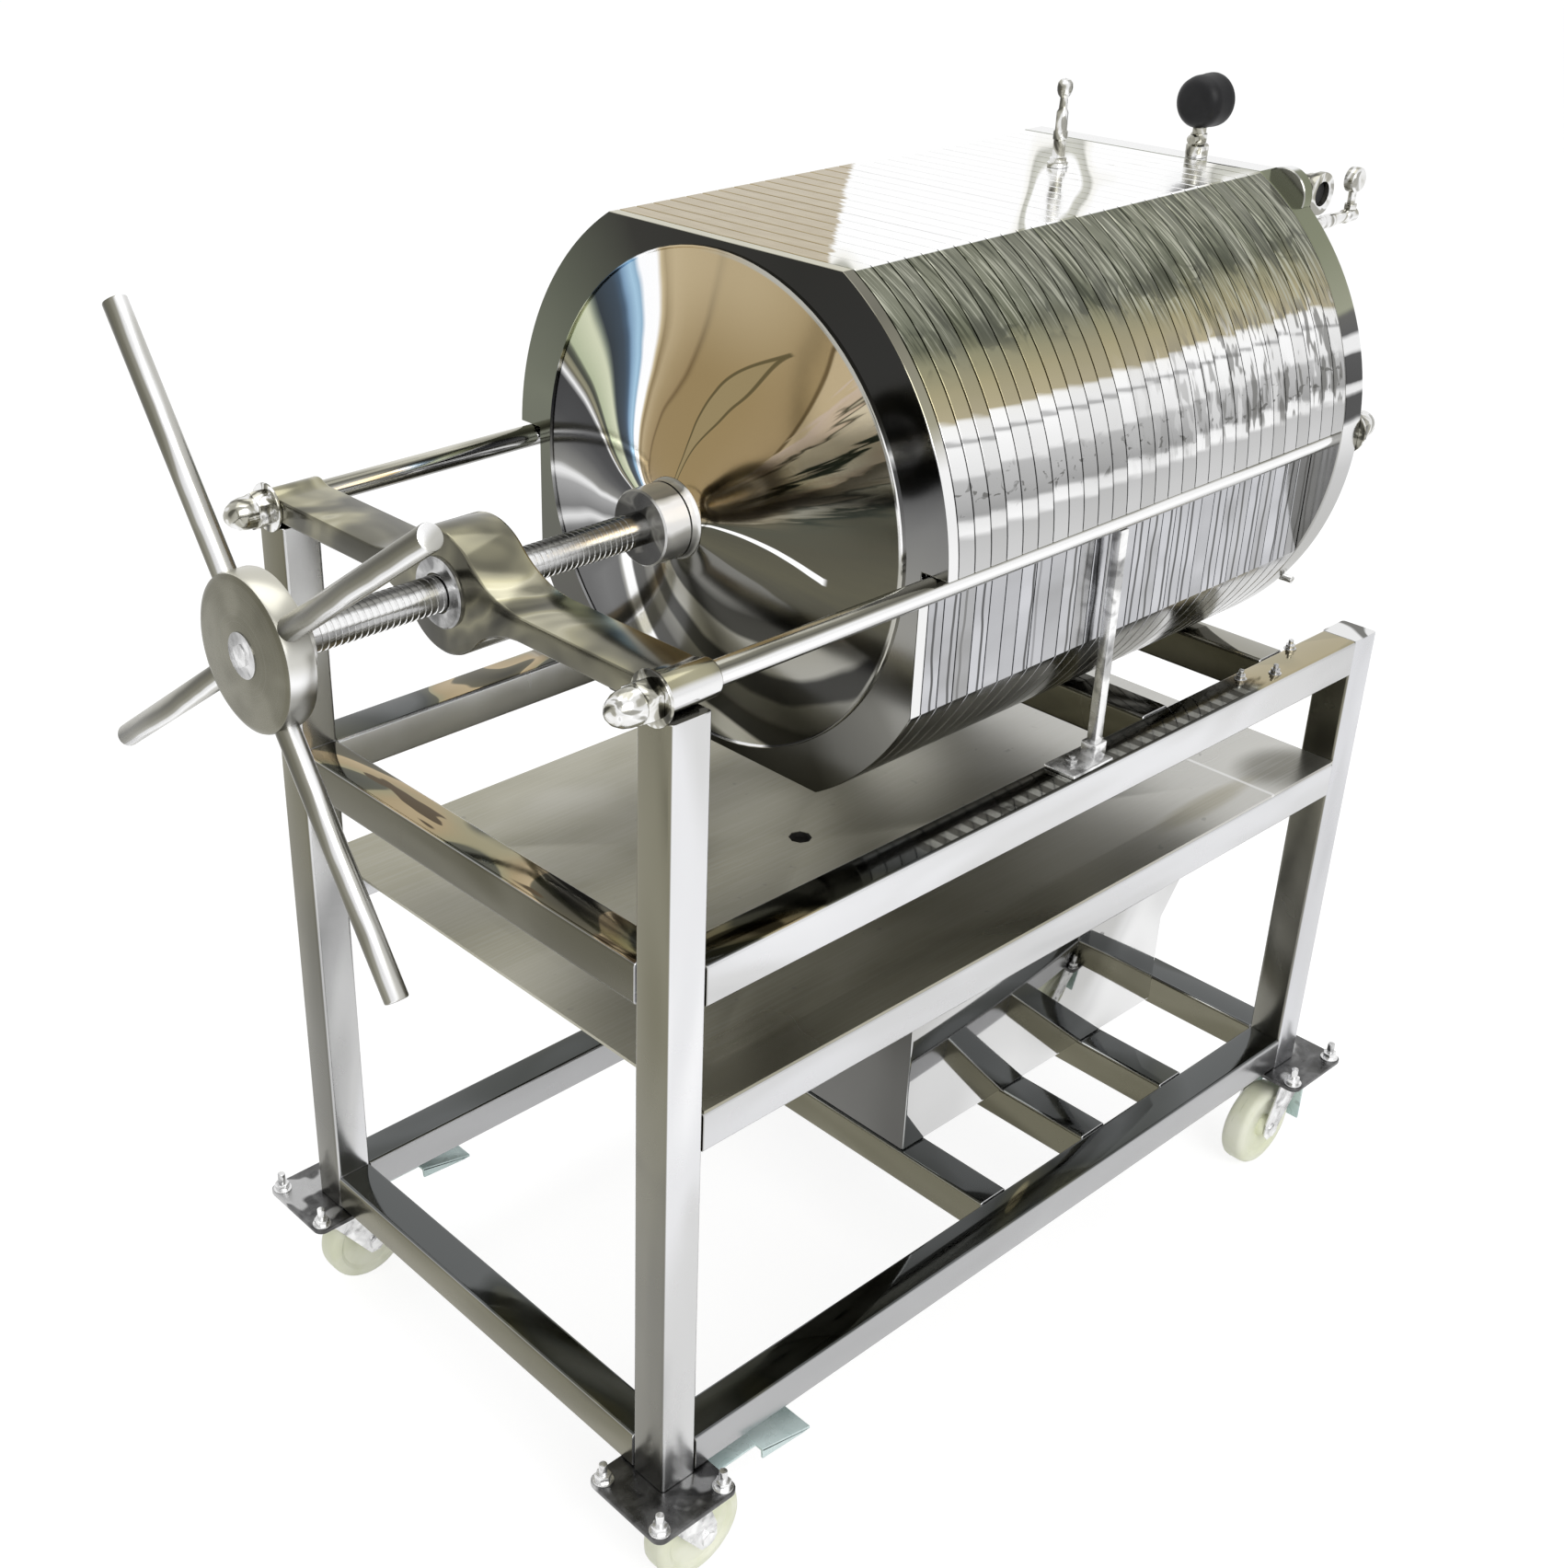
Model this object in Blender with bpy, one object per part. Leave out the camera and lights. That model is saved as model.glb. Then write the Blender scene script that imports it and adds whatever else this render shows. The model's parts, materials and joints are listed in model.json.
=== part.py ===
"""Plate filter press on a wheeled frame: a stack of round plates squeezed by a hand screw.

Metres, +Z up. X runs along the press with the hand wheel at -X, Y runs across it.
Shapes are drawn in the frame's own coordinates: x = 0 at the hand-wheel end of the welded
frame, y = 0 at its near side, z = 0 at its underside. One empty carries them to the world,
where the origin is the middle of the whole press, on the floor.
"""

import math

import bmesh
import bpy
from mathutils import Matrix, Vector

# Clearances
SEAT_GAP = 0.0003
RUN_GAP = 0.0006

# How far a form reaches into the one it is joined to
JOIN = 0.001

# Plates
PLATE_RADIUS = 0.270
PLATE_FLAT_CUT = 0.039
PLATE_OVERHANG = 0.016
PLATE_SIDE_ROOM = 0.0015
PLATE_COUNT = 28
PLATES_PER_PACK = 7
PLATE_PITCH = 0.0198
SEAM_WIDTH = 0.0022
SEAM_DEPTH = 0.006
UPPER_ARC_STEPS = 8
LOWER_ARC_STEPS = 4

# Welded frame of square tube. Bearers are placed from its rear end.
TUBE = 0.040
TUBE_CORNER = 0.003
FRAME_TAIL = 0.106
UPPER_RAIL_TOP = 0.545
TRAY_RAIL_TOP = 0.402
LOWER_BEARERS_FROM_REAR = (0.355, 0.215)
UPPER_BEARER_FROM_REAR = 0.350
REAR_BEARER_LEAD = 0.018

# Tie bars and the crossbeam that joins them
TIE_BAR_RADIUS = 0.0105
CROSSBEAM_DEPTH = 0.055
CROSSBEAM_ARM_HEIGHT = 0.022
CROSSBEAM_BOSS_RADIUS = 0.053
CROSSBEAM_BLEND_RADIUS = 0.090
CROSSBEAM_END_RADIUS = 0.0155
CROSSBEAM_END_BLEND = 0.030

# Moving head
HEAD_THICKNESS = 0.012
HEAD_TRAVEL = 0.130
HEAD_STOP_ROOM = 0.026
CONE_MARGIN = 0.007
CONE_TOP_RADIUS = 0.046
CONE_RISE = 0.036
CONE_SHOULDER = 0.004
BOSS_RADIUS = 0.035
BOSS_LENGTH = 0.050

# Screw and hand wheel
SCREW_RADIUS = 0.0155
HAND_ROOM = 0.138
HUB_RADIUS = 0.063
HUB_NECK_RADIUS = 0.034
HUB_THICKNESS = 0.030
HUB_NECK_LENGTH = 0.018
HUB_CHAMFER = 0.002
SPOKE_RADIUS = 0.0102
SPOKE_REACH = 0.282
SPOKE_TURN_DEG = 55.5

# Rear head, its feet and the domed nuts on the tie bars
REAR_HEAD_THICKNESS = 0.030
REAR_FOOT_HEIGHT = 0.005
REAR_FOOT_SPREAD = 0.085
REAR_FOOT_WIDTH = 0.040
NUT_RADIUS = 0.0175
NUT_LENGTH = 0.016
DOME_LENGTH = 0.026
WASHER_RADIUS = 0.019
WASHER_THICKNESS = 0.003

# Outlet elbow on its lug, a small cock under it and the drain cock, all near the rear head's rim
PORT_RADIUS = 0.020
PORT_BORE = 0.0115
PORT_BEND = 0.022
PORT_INSET = 0.0097
PORT_ANGLE_DEG = 53.3
PORT_LUG_RADIUS = 0.026
PORT_LUG_THICKNESS = 0.014
COCK_RADIUS = 0.0068
COCK_REACH = 0.078
COCK_END = 0.0075
COCK_SIDE = 0.0215
COCK_FALL = 0.0280
COCK_STEM_RADIUS = 0.004
COCK_STEM_HEIGHT = 0.024
COCK_KNOB_RADIUS = 0.012
COCK_KNOB_WIDTH = 0.012
DRAIN_COCK_RADIUS = 0.011
DRAIN_COCK_LENGTH = 0.030
DRAIN_COCK_INSET = 0.0165
DRAIN_COCK_ANGLE_DEG = 41.8
DRAIN_LEVER_RADIUS = 0.004
DRAIN_LEVER_LENGTH = 0.032

# Fittings on top
GAUGE_RADIUS = 0.025
GAUGE_DEPTH = 0.032
GAUGE_STEM_HEIGHT = 0.026
GAUGE_STEM_RADIUS = 0.007
GAUGE_FOOT_RADIUS = 0.011
GAUGE_FOOT_HEIGHT = 0.012
GAUGE_SIDE = 0.059
VENT_FROM_REAR_HEAD = 0.124
VENT_HEIGHT = 0.080
VENT_RADIUS = 0.0065
VENT_FOOT_RADIUS = 0.010
VENT_FOOT_HEIGHT = 0.008

# Sheet work
TRAY_SHEET = 0.003
TRAY_DROP = 0.012
TRAY_FLANGE = 0.045
TRAY_CREASE_FROM_REAR = 0.155
DRAIN_FROM_REAR = 0.570
DRAIN_RADIUS = 0.012
CABINET_LENGTH = 0.438
CABINET_FROM_REAR = 0.082
CABINET_BEARER_LEAD = 0.002
CABINET_FLARE = 0.038
CABINET_FLARE_LOW = 0.155
CABINET_FLARE_HIGH = 0.210
CABINET_SIDE_INSET = 0.150

# Side legs that steady the tie bars
LEG_FROM_REAR = 0.455
LEG_WIDTH = 0.011
LEG_THICKNESS = 0.010
LEG_BLOCK_WIDTH = 0.017
LEG_BLOCK_HEIGHT = 0.018
LEG_FOOT_LENGTH = 0.058
LEG_FOOT_WIDTH = 0.034
LEG_FOOT_THICKNESS = 0.004

# Casters
CASTER_HEIGHT = 0.128
CASTER_INSET = 0.009
CASTER_PLATE = 0.098
CASTER_PLATE_CORNER = 0.008
CASTER_PLATE_THICKNESS = 0.005
CASTER_RACE_RADIUS = 0.026
CASTER_RACE_HEIGHT = 0.008
CASTER_TRAIL = 0.036
WHEEL_ROOM = 0.028
WHEEL_WIDTH = 0.028
WHEEL_SIDE_GAP = 0.0055
WHEEL_TYRE = 0.014
WHEEL_WEB_SINK = 0.004
WHEEL_HUB_RADIUS = 0.014
WHEEL_HUB_GAP = 0.001
TREAD_ROUND = 0.006
FORK_SHEET = 0.003
FORK_HEEL = 0.022
CHEEK_RADIUS = 0.013
AXLE_RADIUS = 0.006
PEDAL_START = 0.104
PEDAL_END = 0.168
PEDAL_WIDTH = 0.044
PEDAL_FALL = 0.014
PEDAL_SKIRT = 0.010
PEDAL_ARM_WIDTH = 0.026
PEDAL_HANG = 0.078
PEDAL_WHEEL_ROOM = 0.0075

# Swivel angle of each caster at rest, in degrees from +X. The front pedals are up and the rear
# ones are pressed down.
CASTER_REST = {"front_near": 0.0, "front_far": 0.0, "rear_near": 180.0, "rear_far": 180.0}
PEDAL_UP = {"front_near": True, "front_far": True, "rear_near": False, "rear_far": False}

# Casters: the wheel fills the height under the fork
WHEEL_RADIUS = (CASTER_HEIGHT - WHEEL_ROOM) / 2
WHEEL_WEB_RADIUS = WHEEL_RADIUS - WHEEL_TYRE
PEDAL_SETBACK = WHEEL_RADIUS - CASTER_TRAIL + PEDAL_WHEEL_ROOM + FORK_SHEET

# Across the press: the plates' shoulders reach over the tie bars, and the posts stand under them
PLATE_FLAT = PLATE_RADIUS - PLATE_FLAT_CUT
TIE_BAR_OFFSET = PLATE_RADIUS - PLATE_OVERHANG
PLATE_SIDE = TIE_BAR_OFFSET - TIE_BAR_RADIUS - PLATE_SIDE_ROOM
FRAME_WIDTH = 2 * TIE_BAR_OFFSET + TUBE
MIDDLE_Y = FRAME_WIDTH / 2
CONE_BASE_RADIUS = PLATE_FLAT - CONE_MARGIN

# Up the press: the rear head stands on the rear bearer, and its middle gives the screw line
SCREW_LINE = UPPER_RAIL_TOP + REAR_FOOT_HEIGHT + PLATE_FLAT
POST_TOP = SCREW_LINE - CROSSBEAM_END_RADIUS
PLATE_BOTTOM = SCREW_LINE - PLATE_FLAT
PLATE_TOP = SCREW_LINE + PLATE_FLAT
PORT_SIDE = (PLATE_RADIUS - PORT_INSET) * math.cos(math.radians(PORT_ANGLE_DEG))
PORT_RISE = (PLATE_RADIUS - PORT_INSET) * math.sin(math.radians(PORT_ANGLE_DEG))
DRAIN_COCK_SIDE = (PLATE_RADIUS - DRAIN_COCK_INSET) * math.cos(math.radians(DRAIN_COCK_ANGLE_DEG))
DRAIN_COCK_FALL = (PLATE_RADIUS - DRAIN_COCK_INSET) * math.sin(math.radians(DRAIN_COCK_ANGLE_DEG))

# Along the press: crossbeam, room for the head to draw back, head, stack, rear head, tail
BOSS_START = CROSSBEAM_DEPTH + HEAD_STOP_ROOM + HEAD_TRAVEL
HEAD_FRONT = BOSS_START + BOSS_LENGTH + CONE_RISE
STACK_START = HEAD_FRONT + HEAD_THICKNESS + SEAT_GAP
STACK_END = STACK_START + PLATE_COUNT * PLATE_PITCH
REAR_HEAD_START = STACK_END + SEAT_GAP
REAR_HEAD_END = REAR_HEAD_START + REAR_HEAD_THICKNESS
FRAME_LENGTH = REAR_HEAD_END + FRAME_TAIL
REAR_BEARER_X = REAR_HEAD_START - REAR_BEARER_LEAD
HUB_END = -HAND_ROOM
HUB_FACE_X = HUB_END - HUB_NECK_LENGTH - HUB_THICKNESS
PRESS_START = HUB_FACE_X
PRESS_END = FRAME_LENGTH - CASTER_INSET + CASTER_PLATE / 2
WORLD_SHIFT = Vector((-(PRESS_START + PRESS_END) / 2, -MIDDLE_Y, CASTER_HEIGHT))

FINISHES = {
    "polished_steel": ((0.66, 0.65, 0.60, 1.0), 0.12, 1.0),
    "brushed_tube": ((0.68, 0.68, 0.67, 1.0), 0.32, 1.0),
    "satin_sheet": ((0.50, 0.49, 0.46, 1.0), 0.40, 1.0),
    "zinc_steel": ((0.45, 0.46, 0.45, 1.0), 0.35, 1.0),
    "nylon": ((0.80, 0.79, 0.68, 1.0), 0.45, 0.0),
    "pedal_paint": ((0.62, 0.74, 0.73, 1.0), 0.40, 0.0),
    "black_plastic": ((0.02, 0.02, 0.02, 1.0), 0.25, 0.0),
}


def finish(name):
    """The named material, made once."""
    found = bpy.data.materials.get(name)
    if found:
        return found
    colour, roughness, metallic = FINISHES[name]
    made = bpy.data.materials.new(name)
    made.use_nodes = True
    shader = made.node_tree.nodes["Principled BSDF"]
    shader.inputs["Base Color"].default_value = colour
    shader.inputs["Roughness"].default_value = roughness
    shader.inputs["Metallic"].default_value = metallic
    made.diffuse_color = colour
    return made


def empty(name, location, parent=None, turn_z=0.0):
    made = bpy.data.objects.new(name, None)
    made.empty_display_size = 0.05
    made.location = location
    made.rotation_euler = (0.0, 0.0, turn_z)
    made.parent = parent
    bpy.context.collection.objects.link(made)
    return made


def add_object(name, mesh_builder, finish_name, parent, location=(0.0, 0.0, 0.0), smooth=None):
    """Turns a bmesh into a named object with its own material, facing outwards."""
    bmesh.ops.recalc_face_normals(mesh_builder, faces=mesh_builder.faces)
    mesh = bpy.data.meshes.new(name)
    mesh_builder.to_mesh(mesh)
    mesh_builder.free()
    if smooth is not None:
        mesh.shade_smooth()
        mesh.set_sharp_from_angle(angle=math.radians(smooth))
    own = finish(finish_name).copy()
    own.name = name + "_finish"
    mesh.materials.append(own)
    made = bpy.data.objects.new(name, mesh)
    made.location = location
    made.parent = parent
    bpy.context.collection.objects.link(made)
    return made


def combine(target, tool, operation):
    """Joins or cuts the target with a hidden helper, which keeps the target's parent and place."""
    tool.hide_render = True
    tool.display_type = "WIRE"
    step = target.modifiers.new(operation.lower() + "_" + tool.name, "BOOLEAN")
    step.operation = operation
    step.solver = "EXACT"
    step.object = tool
    return target


def box(low, high):
    """A plain block between two corners."""
    made = bmesh.new()
    size = [b - a for a, b in zip(low, high)]
    middle = [(a + b) / 2 for a, b in zip(low, high)]
    matrix = Matrix.Translation(middle) @ Matrix.Diagonal((*size, 1.0))
    bmesh.ops.create_cube(made, size=1.0, matrix=matrix)
    return made


def tube_along(axis, low, high, corner=TUBE_CORNER):
    """A length of square tube with its four long corners eased; its ends are welded shut."""
    made = box(low, high)
    along = Vector([1.0 if i == axis else 0.0 for i in range(3)])
    long_edges = [
        edge
        for edge in made.edges
        if abs((edge.verts[1].co - edge.verts[0].co).normalized().dot(along)) > 0.9
    ]
    bmesh.ops.bevel(made, geom=long_edges, offset=corner, segments=1, profile=0.5,
                    affect="EDGES", material=-1)
    return made


def loft_along_x(rings):
    """A closed skin through rings of (x, [(y, z), ...]), each with as many points."""
    made = bmesh.new()
    loops = [[made.verts.new((x, y, z)) for y, z in outline] for x, outline in rings]
    for first, second in zip(loops, loops[1:]):
        for i in range(len(first)):
            j = (i + 1) % len(first)
            made.faces.new((first[i], first[j], second[j], second[i]))
    made.faces.new(list(reversed(loops[0])))
    made.faces.new(loops[-1])
    return made


def prism(outline, axis, low, high):
    """An outline of (a, b) points extruded along X, Y or Z. The points are the other two axes."""
    made = bmesh.new()
    places = {"X": lambda a, b: (low, a, b), "Y": lambda a, b: (a, low, b), "Z": lambda a, b: (a, b, low)}
    face = made.faces.new([made.verts.new(places[axis](a, b)) for a, b in outline])
    grown = bmesh.ops.extrude_face_region(made, geom=[face])
    step = Vector([(high - low) if letter == axis else 0.0 for letter in "XYZ"])
    bmesh.ops.translate(made, vec=step, verts=[v for v in grown["geom"] if isinstance(v, bmesh.types.BMVert)])
    return made


def turned(profile, axis, segments, closed=False):
    """A profile of (along, radius) points spun round X, Y or Z through the origin."""
    made = bmesh.new()
    across = {"X": Vector((0, 0, 1)), "Y": Vector((0, 0, 1)), "Z": Vector((1, 0, 0))}[axis]
    along = {"X": Vector((1, 0, 0)), "Y": Vector((0, 1, 0)), "Z": Vector((0, 0, 1))}[axis]
    points = [made.verts.new(along * a + across * r) for a, r in profile]
    edges = [made.edges.new(pair) for pair in zip(points, points[1:])]
    if closed:
        edges.append(made.edges.new((points[-1], points[0])))
    bmesh.ops.spin(made, geom=points + edges, cent=(0, 0, 0), axis=along, angle=math.tau,
                   steps=segments, use_merge=True)
    bmesh.ops.remove_doubles(made, verts=made.verts, dist=1e-6)
    return made


def rod(radius, axis, low, high, segments):
    return turned([(low, 0.0), (low, radius), (high, radius), (high, 0.0)], axis, segments)


def arc(centre, radius, start_deg, end_deg, steps):
    """Points on an arc, both ends included."""
    return [
        (
            centre[0] + radius * math.cos(math.radians(start_deg + (end_deg - start_deg) * i / steps)),
            centre[1] + radius * math.sin(math.radians(start_deg + (end_deg - start_deg) * i / steps)),
        )
        for i in range(steps + 1)
    ]


def plate_outline(shrink=0.0):
    """The outline of a plate about the screw line: a circle with a flat top and bottom, and a
    shoulder on each side that rests on a tie bar above straight lower sides."""
    radius = PLATE_RADIUS - shrink
    flat = PLATE_FLAT - shrink
    side = PLATE_SIDE - shrink
    shoulder = TIE_BAR_RADIUS + SEAT_GAP + shrink
    top_angle = math.degrees(math.asin(flat / radius))
    shoulder_angle = math.degrees(math.asin(shoulder / radius))
    side_angle = -math.degrees(math.acos(side / radius))
    right = arc((0, 0), radius, top_angle, shoulder_angle, UPPER_ARC_STEPS)
    right.append((side, shoulder))
    right += arc((0, 0), radius, side_angle, -top_angle, LOWER_ARC_STEPS)
    return right + [(-y, z) for y, z in reversed(right)]


def build_frame(root):
    """Four posts and the rails between them, each a length of square tube."""
    near, far = 0.0, FRAME_WIDTH - TUBE
    front, rear = 0.0, FRAME_LENGTH - TUBE
    posts = {
        "post_front_near": (front, near, POST_TOP - SEAT_GAP),
        "post_front_far": (front, far, POST_TOP - SEAT_GAP),
        "post_rear_near": (rear, near, UPPER_RAIL_TOP),
        "post_rear_far": (rear, far, UPPER_RAIL_TOP),
    }
    for name, (x, y, top) in posts.items():
        add_object(name, tube_along(2, (x, y, 0.0), (x + TUBE, y + TUBE, top)), "brushed_tube", root)

    x_low, x_high = TUBE + SEAT_GAP, FRAME_LENGTH - TUBE - SEAT_GAP
    for side, y in (("near", near), ("far", far)):
        for kind, top in (("bottom", TUBE), ("tray", TRAY_RAIL_TOP), ("upper", UPPER_RAIL_TOP)):
            low, high = (x_low, y, top - TUBE), (x_high, y + TUBE, top)
            add_object(f"{kind}_rail_{side}", tube_along(0, low, high), "brushed_tube", root)

    y_low, y_high = TUBE + SEAT_GAP, FRAME_WIDTH - TUBE - SEAT_GAP
    across = {
        "bottom_end_rail_front": (front, TUBE),
        "bottom_end_rail_rear": (rear, TUBE),
        "upper_end_rail": (front, UPPER_RAIL_TOP),
    }
    cabinet_bearer = CABINET_FROM_REAR + CABINET_LENGTH + CABINET_BEARER_LEAD
    for number, back in enumerate((cabinet_bearer, *LOWER_BEARERS_FROM_REAR), 1):
        across[f"lower_bearer_{number}"] = (FRAME_LENGTH - back, TUBE)
    for number, x in enumerate((FRAME_LENGTH - UPPER_BEARER_FROM_REAR, REAR_BEARER_X), 1):
        across[f"upper_bearer_{number}"] = (x, UPPER_RAIL_TOP)
    for name, (x, top) in across.items():
        low, high = (x, y_low, top - TUBE), (x + TUBE, y_high, top)
        add_object(name, tube_along(1, low, high), "brushed_tube", root)


def build_drip_tray(root):
    """A sheet pan on the tray rails: flat edges, and a floor that falls to its drain hole."""
    x_low, x_high = TUBE + SEAT_GAP, FRAME_LENGTH - TUBE - SEAT_GAP
    y_low, y_high = 0.0, FRAME_WIDTH
    level = TRAY_RAIL_TOP + SEAT_GAP
    made = bmesh.new()
    outer = [(x_low, y_low), (x_high, y_low), (x_high, y_high), (x_low, y_high)]
    fall_low, fall_high = x_low + TRAY_FLANGE, FRAME_LENGTH - TRAY_CREASE_FROM_REAR
    inner = [
        (fall_low, TUBE + SEAT_GAP), (fall_high, TUBE + SEAT_GAP),
        (fall_high, FRAME_WIDTH - TUBE - SEAT_GAP), (fall_low, FRAME_WIDTH - TUBE - SEAT_GAP),
    ]
    drain = [
        (
            FRAME_LENGTH - DRAIN_FROM_REAR + DRAIN_RADIUS * math.cos(math.radians(a)),
            MIDDLE_Y + DRAIN_RADIUS * math.sin(math.radians(a)),
        )
        for a in range(225, 225 + 360, 45)
    ]
    for thickness in (0.0, TRAY_SHEET):
        z = level + thickness
        ring_a = [made.verts.new((x, y, z)) for x, y in outer]
        ring_b = [made.verts.new((x, y, z)) for x, y in inner]
        ring_c = [made.verts.new((x, y, z - TRAY_DROP)) for x, y in drain]
        for i in range(4):
            j = (i + 1) % 4
            made.faces.new((ring_a[i], ring_a[j], ring_b[j], ring_b[i]))
            first, second, third = ring_c[2 * i], ring_c[2 * i + 1], ring_c[(2 * i + 2) % 8]
            made.faces.new((ring_b[i], ring_b[j], second))
            made.faces.new((ring_b[i], second, first))
            made.faces.new((ring_b[j], third, second))
        if thickness == 0.0:
            under = (ring_a, ring_c)
    for lower, upper in zip(under, (ring_a, ring_c)):
        for i in range(len(lower)):
            j = (i + 1) % len(lower)
            made.faces.new((lower[i], lower[j], upper[j], upper[i]))
    add_object("drip_tray", made, "satin_sheet", root)


def build_cabinet(root):
    """The polished sheet cabinet on the lower bearers, flared at its rear top."""
    top = TRAY_RAIL_TOP - TRAY_DROP - SEAT_GAP
    low = TUBE + SEAT_GAP
    end = FRAME_LENGTH - CABINET_FROM_REAR
    start = end - CABINET_LENGTH
    outline = [
        (start, low), (end, low), (end, CABINET_FLARE_LOW),
        (end + CABINET_FLARE, CABINET_FLARE_HIGH), (end + CABINET_FLARE, top), (start, top),
    ]
    made = prism(outline, "Y", CABINET_SIDE_INSET, FRAME_WIDTH - CABINET_SIDE_INSET)
    add_object("lower_cabinet", made, "polished_steel", root)


def nut_profile(face, direction):
    """Washer, nut and dome, from the face that the washer bears on, outwards."""
    steps = [
        (0.0, WASHER_RADIUS), (WASHER_THICKNESS, WASHER_RADIUS), (WASHER_THICKNESS, NUT_RADIUS),
        (WASHER_THICKNESS + NUT_LENGTH, NUT_RADIUS), (WASHER_THICKNESS + NUT_LENGTH, NUT_RADIUS * 0.92),
        (WASHER_THICKNESS + NUT_LENGTH + DOME_LENGTH * 0.55, NUT_RADIUS * 0.80),
        (WASHER_THICKNESS + NUT_LENGTH + DOME_LENGTH * 0.85, NUT_RADIUS * 0.45),
        (WASHER_THICKNESS + NUT_LENGTH + DOME_LENGTH, 0.0),
    ]
    return [(face + direction * along, radius) for along, radius in steps]


def build_tie_bars(root):
    """The two round bars that the plates ride on, each with its domed nuts."""
    for side, sign in (("near", -1), ("far", 1)):
        front = nut_profile(-SEAT_GAP, -1)
        rear = nut_profile(REAR_HEAD_END + SEAT_GAP, 1)
        profile = list(reversed(front)) + [(-SEAT_GAP, TIE_BAR_RADIUS)]
        profile += [(REAR_HEAD_END + SEAT_GAP, TIE_BAR_RADIUS)] + rear
        made = turned(profile, "X", 16)
        place = (0.0, MIDDLE_Y + sign * TIE_BAR_OFFSET, SCREW_LINE)
        add_object(f"tie_bar_{side}", made, "polished_steel", root, place, smooth=35)


def crossbeam_outline():
    """A quarter of the crossbeam seen from the hand wheel, from the end of its near arm to the
    crown: a round eye on the tie bar, a slim arm, and a hollow curve up to the round boss."""
    half = CROSSBEAM_ARM_HEIGHT / 2
    eye, eye_blend = CROSSBEAM_END_RADIUS, CROSSBEAM_END_BLEND
    eye_reach = math.sqrt((eye + eye_blend) ** 2 - (half + eye_blend) ** 2)
    eye_meet = math.degrees(math.atan2(half + eye_blend, -eye_reach))
    end = arc((TIE_BAR_OFFSET, 0), eye, 0.0, eye_meet, 7)
    dip = arc((TIE_BAR_OFFSET - eye_reach, half + eye_blend), eye_blend, eye_meet - 180.0, -90.0, 3)
    boss, blend = CROSSBEAM_BOSS_RADIUS, CROSSBEAM_BLEND_RADIUS
    reach = math.sqrt((boss + blend) ** 2 - (half + blend) ** 2)
    meet = math.degrees(math.atan2(half + blend, reach))
    hollow = arc((reach, half + blend), blend, -90.0, meet - 180.0, 6)
    crown = arc((0, 0), boss, meet, 90.0, 4)
    return end + dip[1:] + hollow + crown[1:]


def build_crossbeam(root):
    quarter = crossbeam_outline()
    upper = quarter + [(-y, z) for y, z in reversed(quarter[:-1])]
    outline = upper + [(y, -z) for y, z in reversed(upper[1:-1])]
    made = prism(outline, "X", 0.0, CROSSBEAM_DEPTH)
    beam = add_object("crossbeam", made, "polished_steel", root, (0.0, MIDDLE_Y, SCREW_LINE), smooth=30)
    holes = [(0.0, SCREW_RADIUS + RUN_GAP, "screw_hole")]
    holes += [(sign * TIE_BAR_OFFSET, TIE_BAR_RADIUS + SEAT_GAP, f"bar_hole_{sign}") for sign in (-1, 1)]
    for y, radius, name in holes:
        cutter = rod(radius, "X", -CROSSBEAM_DEPTH, 2 * CROSSBEAM_DEPTH, 20)
        tool = add_object(name, cutter, "polished_steel", root, (0.0, MIDDLE_Y + y, SCREW_LINE))
        combine(beam, tool, "DIFFERENCE")


def build_plates(root):
    """The stack in packs: within a pack the plates meet at a seam that lies below their rims."""
    rim = plate_outline()
    seam = plate_outline(SEAM_DEPTH)
    for pack in range(PLATE_COUNT // PLATES_PER_PACK):
        start = STACK_START + pack * PLATES_PER_PACK * PLATE_PITCH
        rings = []
        for number in range(PLATES_PER_PACK):
            low = number * PLATE_PITCH
            high = low + PLATE_PITCH
            if number:
                rings.append((low + SEAM_WIDTH / 2, seam))
                rings.append((low + SEAM_WIDTH / 2, rim))
            else:
                rings.append((low, rim))
            if number < PLATES_PER_PACK - 1:
                rings.append((high - SEAM_WIDTH / 2, rim))
                rings.append((high - SEAM_WIDTH / 2, seam))
            else:
                rings.append((high - SEAT_GAP, rim))
        made = loft_along_x(rings)
        add_object(f"plate_pack_{pack + 1}", made, "polished_steel", root, (start, MIDDLE_Y, SCREW_LINE))


def build_moving_head(root):
    """The pressure head: a plate-shaped ring, a shallow cone and the boss that the screw turns in."""
    slide = empty("moving_head_slide", (HEAD_FRONT, MIDDLE_Y, SCREW_LINE), root)
    rim = plate_outline()
    plate = loft_along_x([(0.0, rim), (HEAD_THICKNESS, rim)])
    head = add_object("moving_head", plate, "polished_steel", slide)
    cone = turned(
        [
            (HEAD_THICKNESS / 2, 0.0), (HEAD_THICKNESS / 2, CONE_BASE_RADIUS), (0.0, CONE_BASE_RADIUS),
            (-CONE_RISE, CONE_TOP_RADIUS), (-CONE_RISE - CONE_SHOULDER, BOSS_RADIUS),
            (-CONE_RISE - BOSS_LENGTH, BOSS_RADIUS), (-CONE_RISE - BOSS_LENGTH, 0.0),
        ],
        "X",
        40,
    )
    tool = add_object("head_cone", cone, "polished_steel", slide)
    combine(head, tool, "UNION")
    return slide


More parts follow.
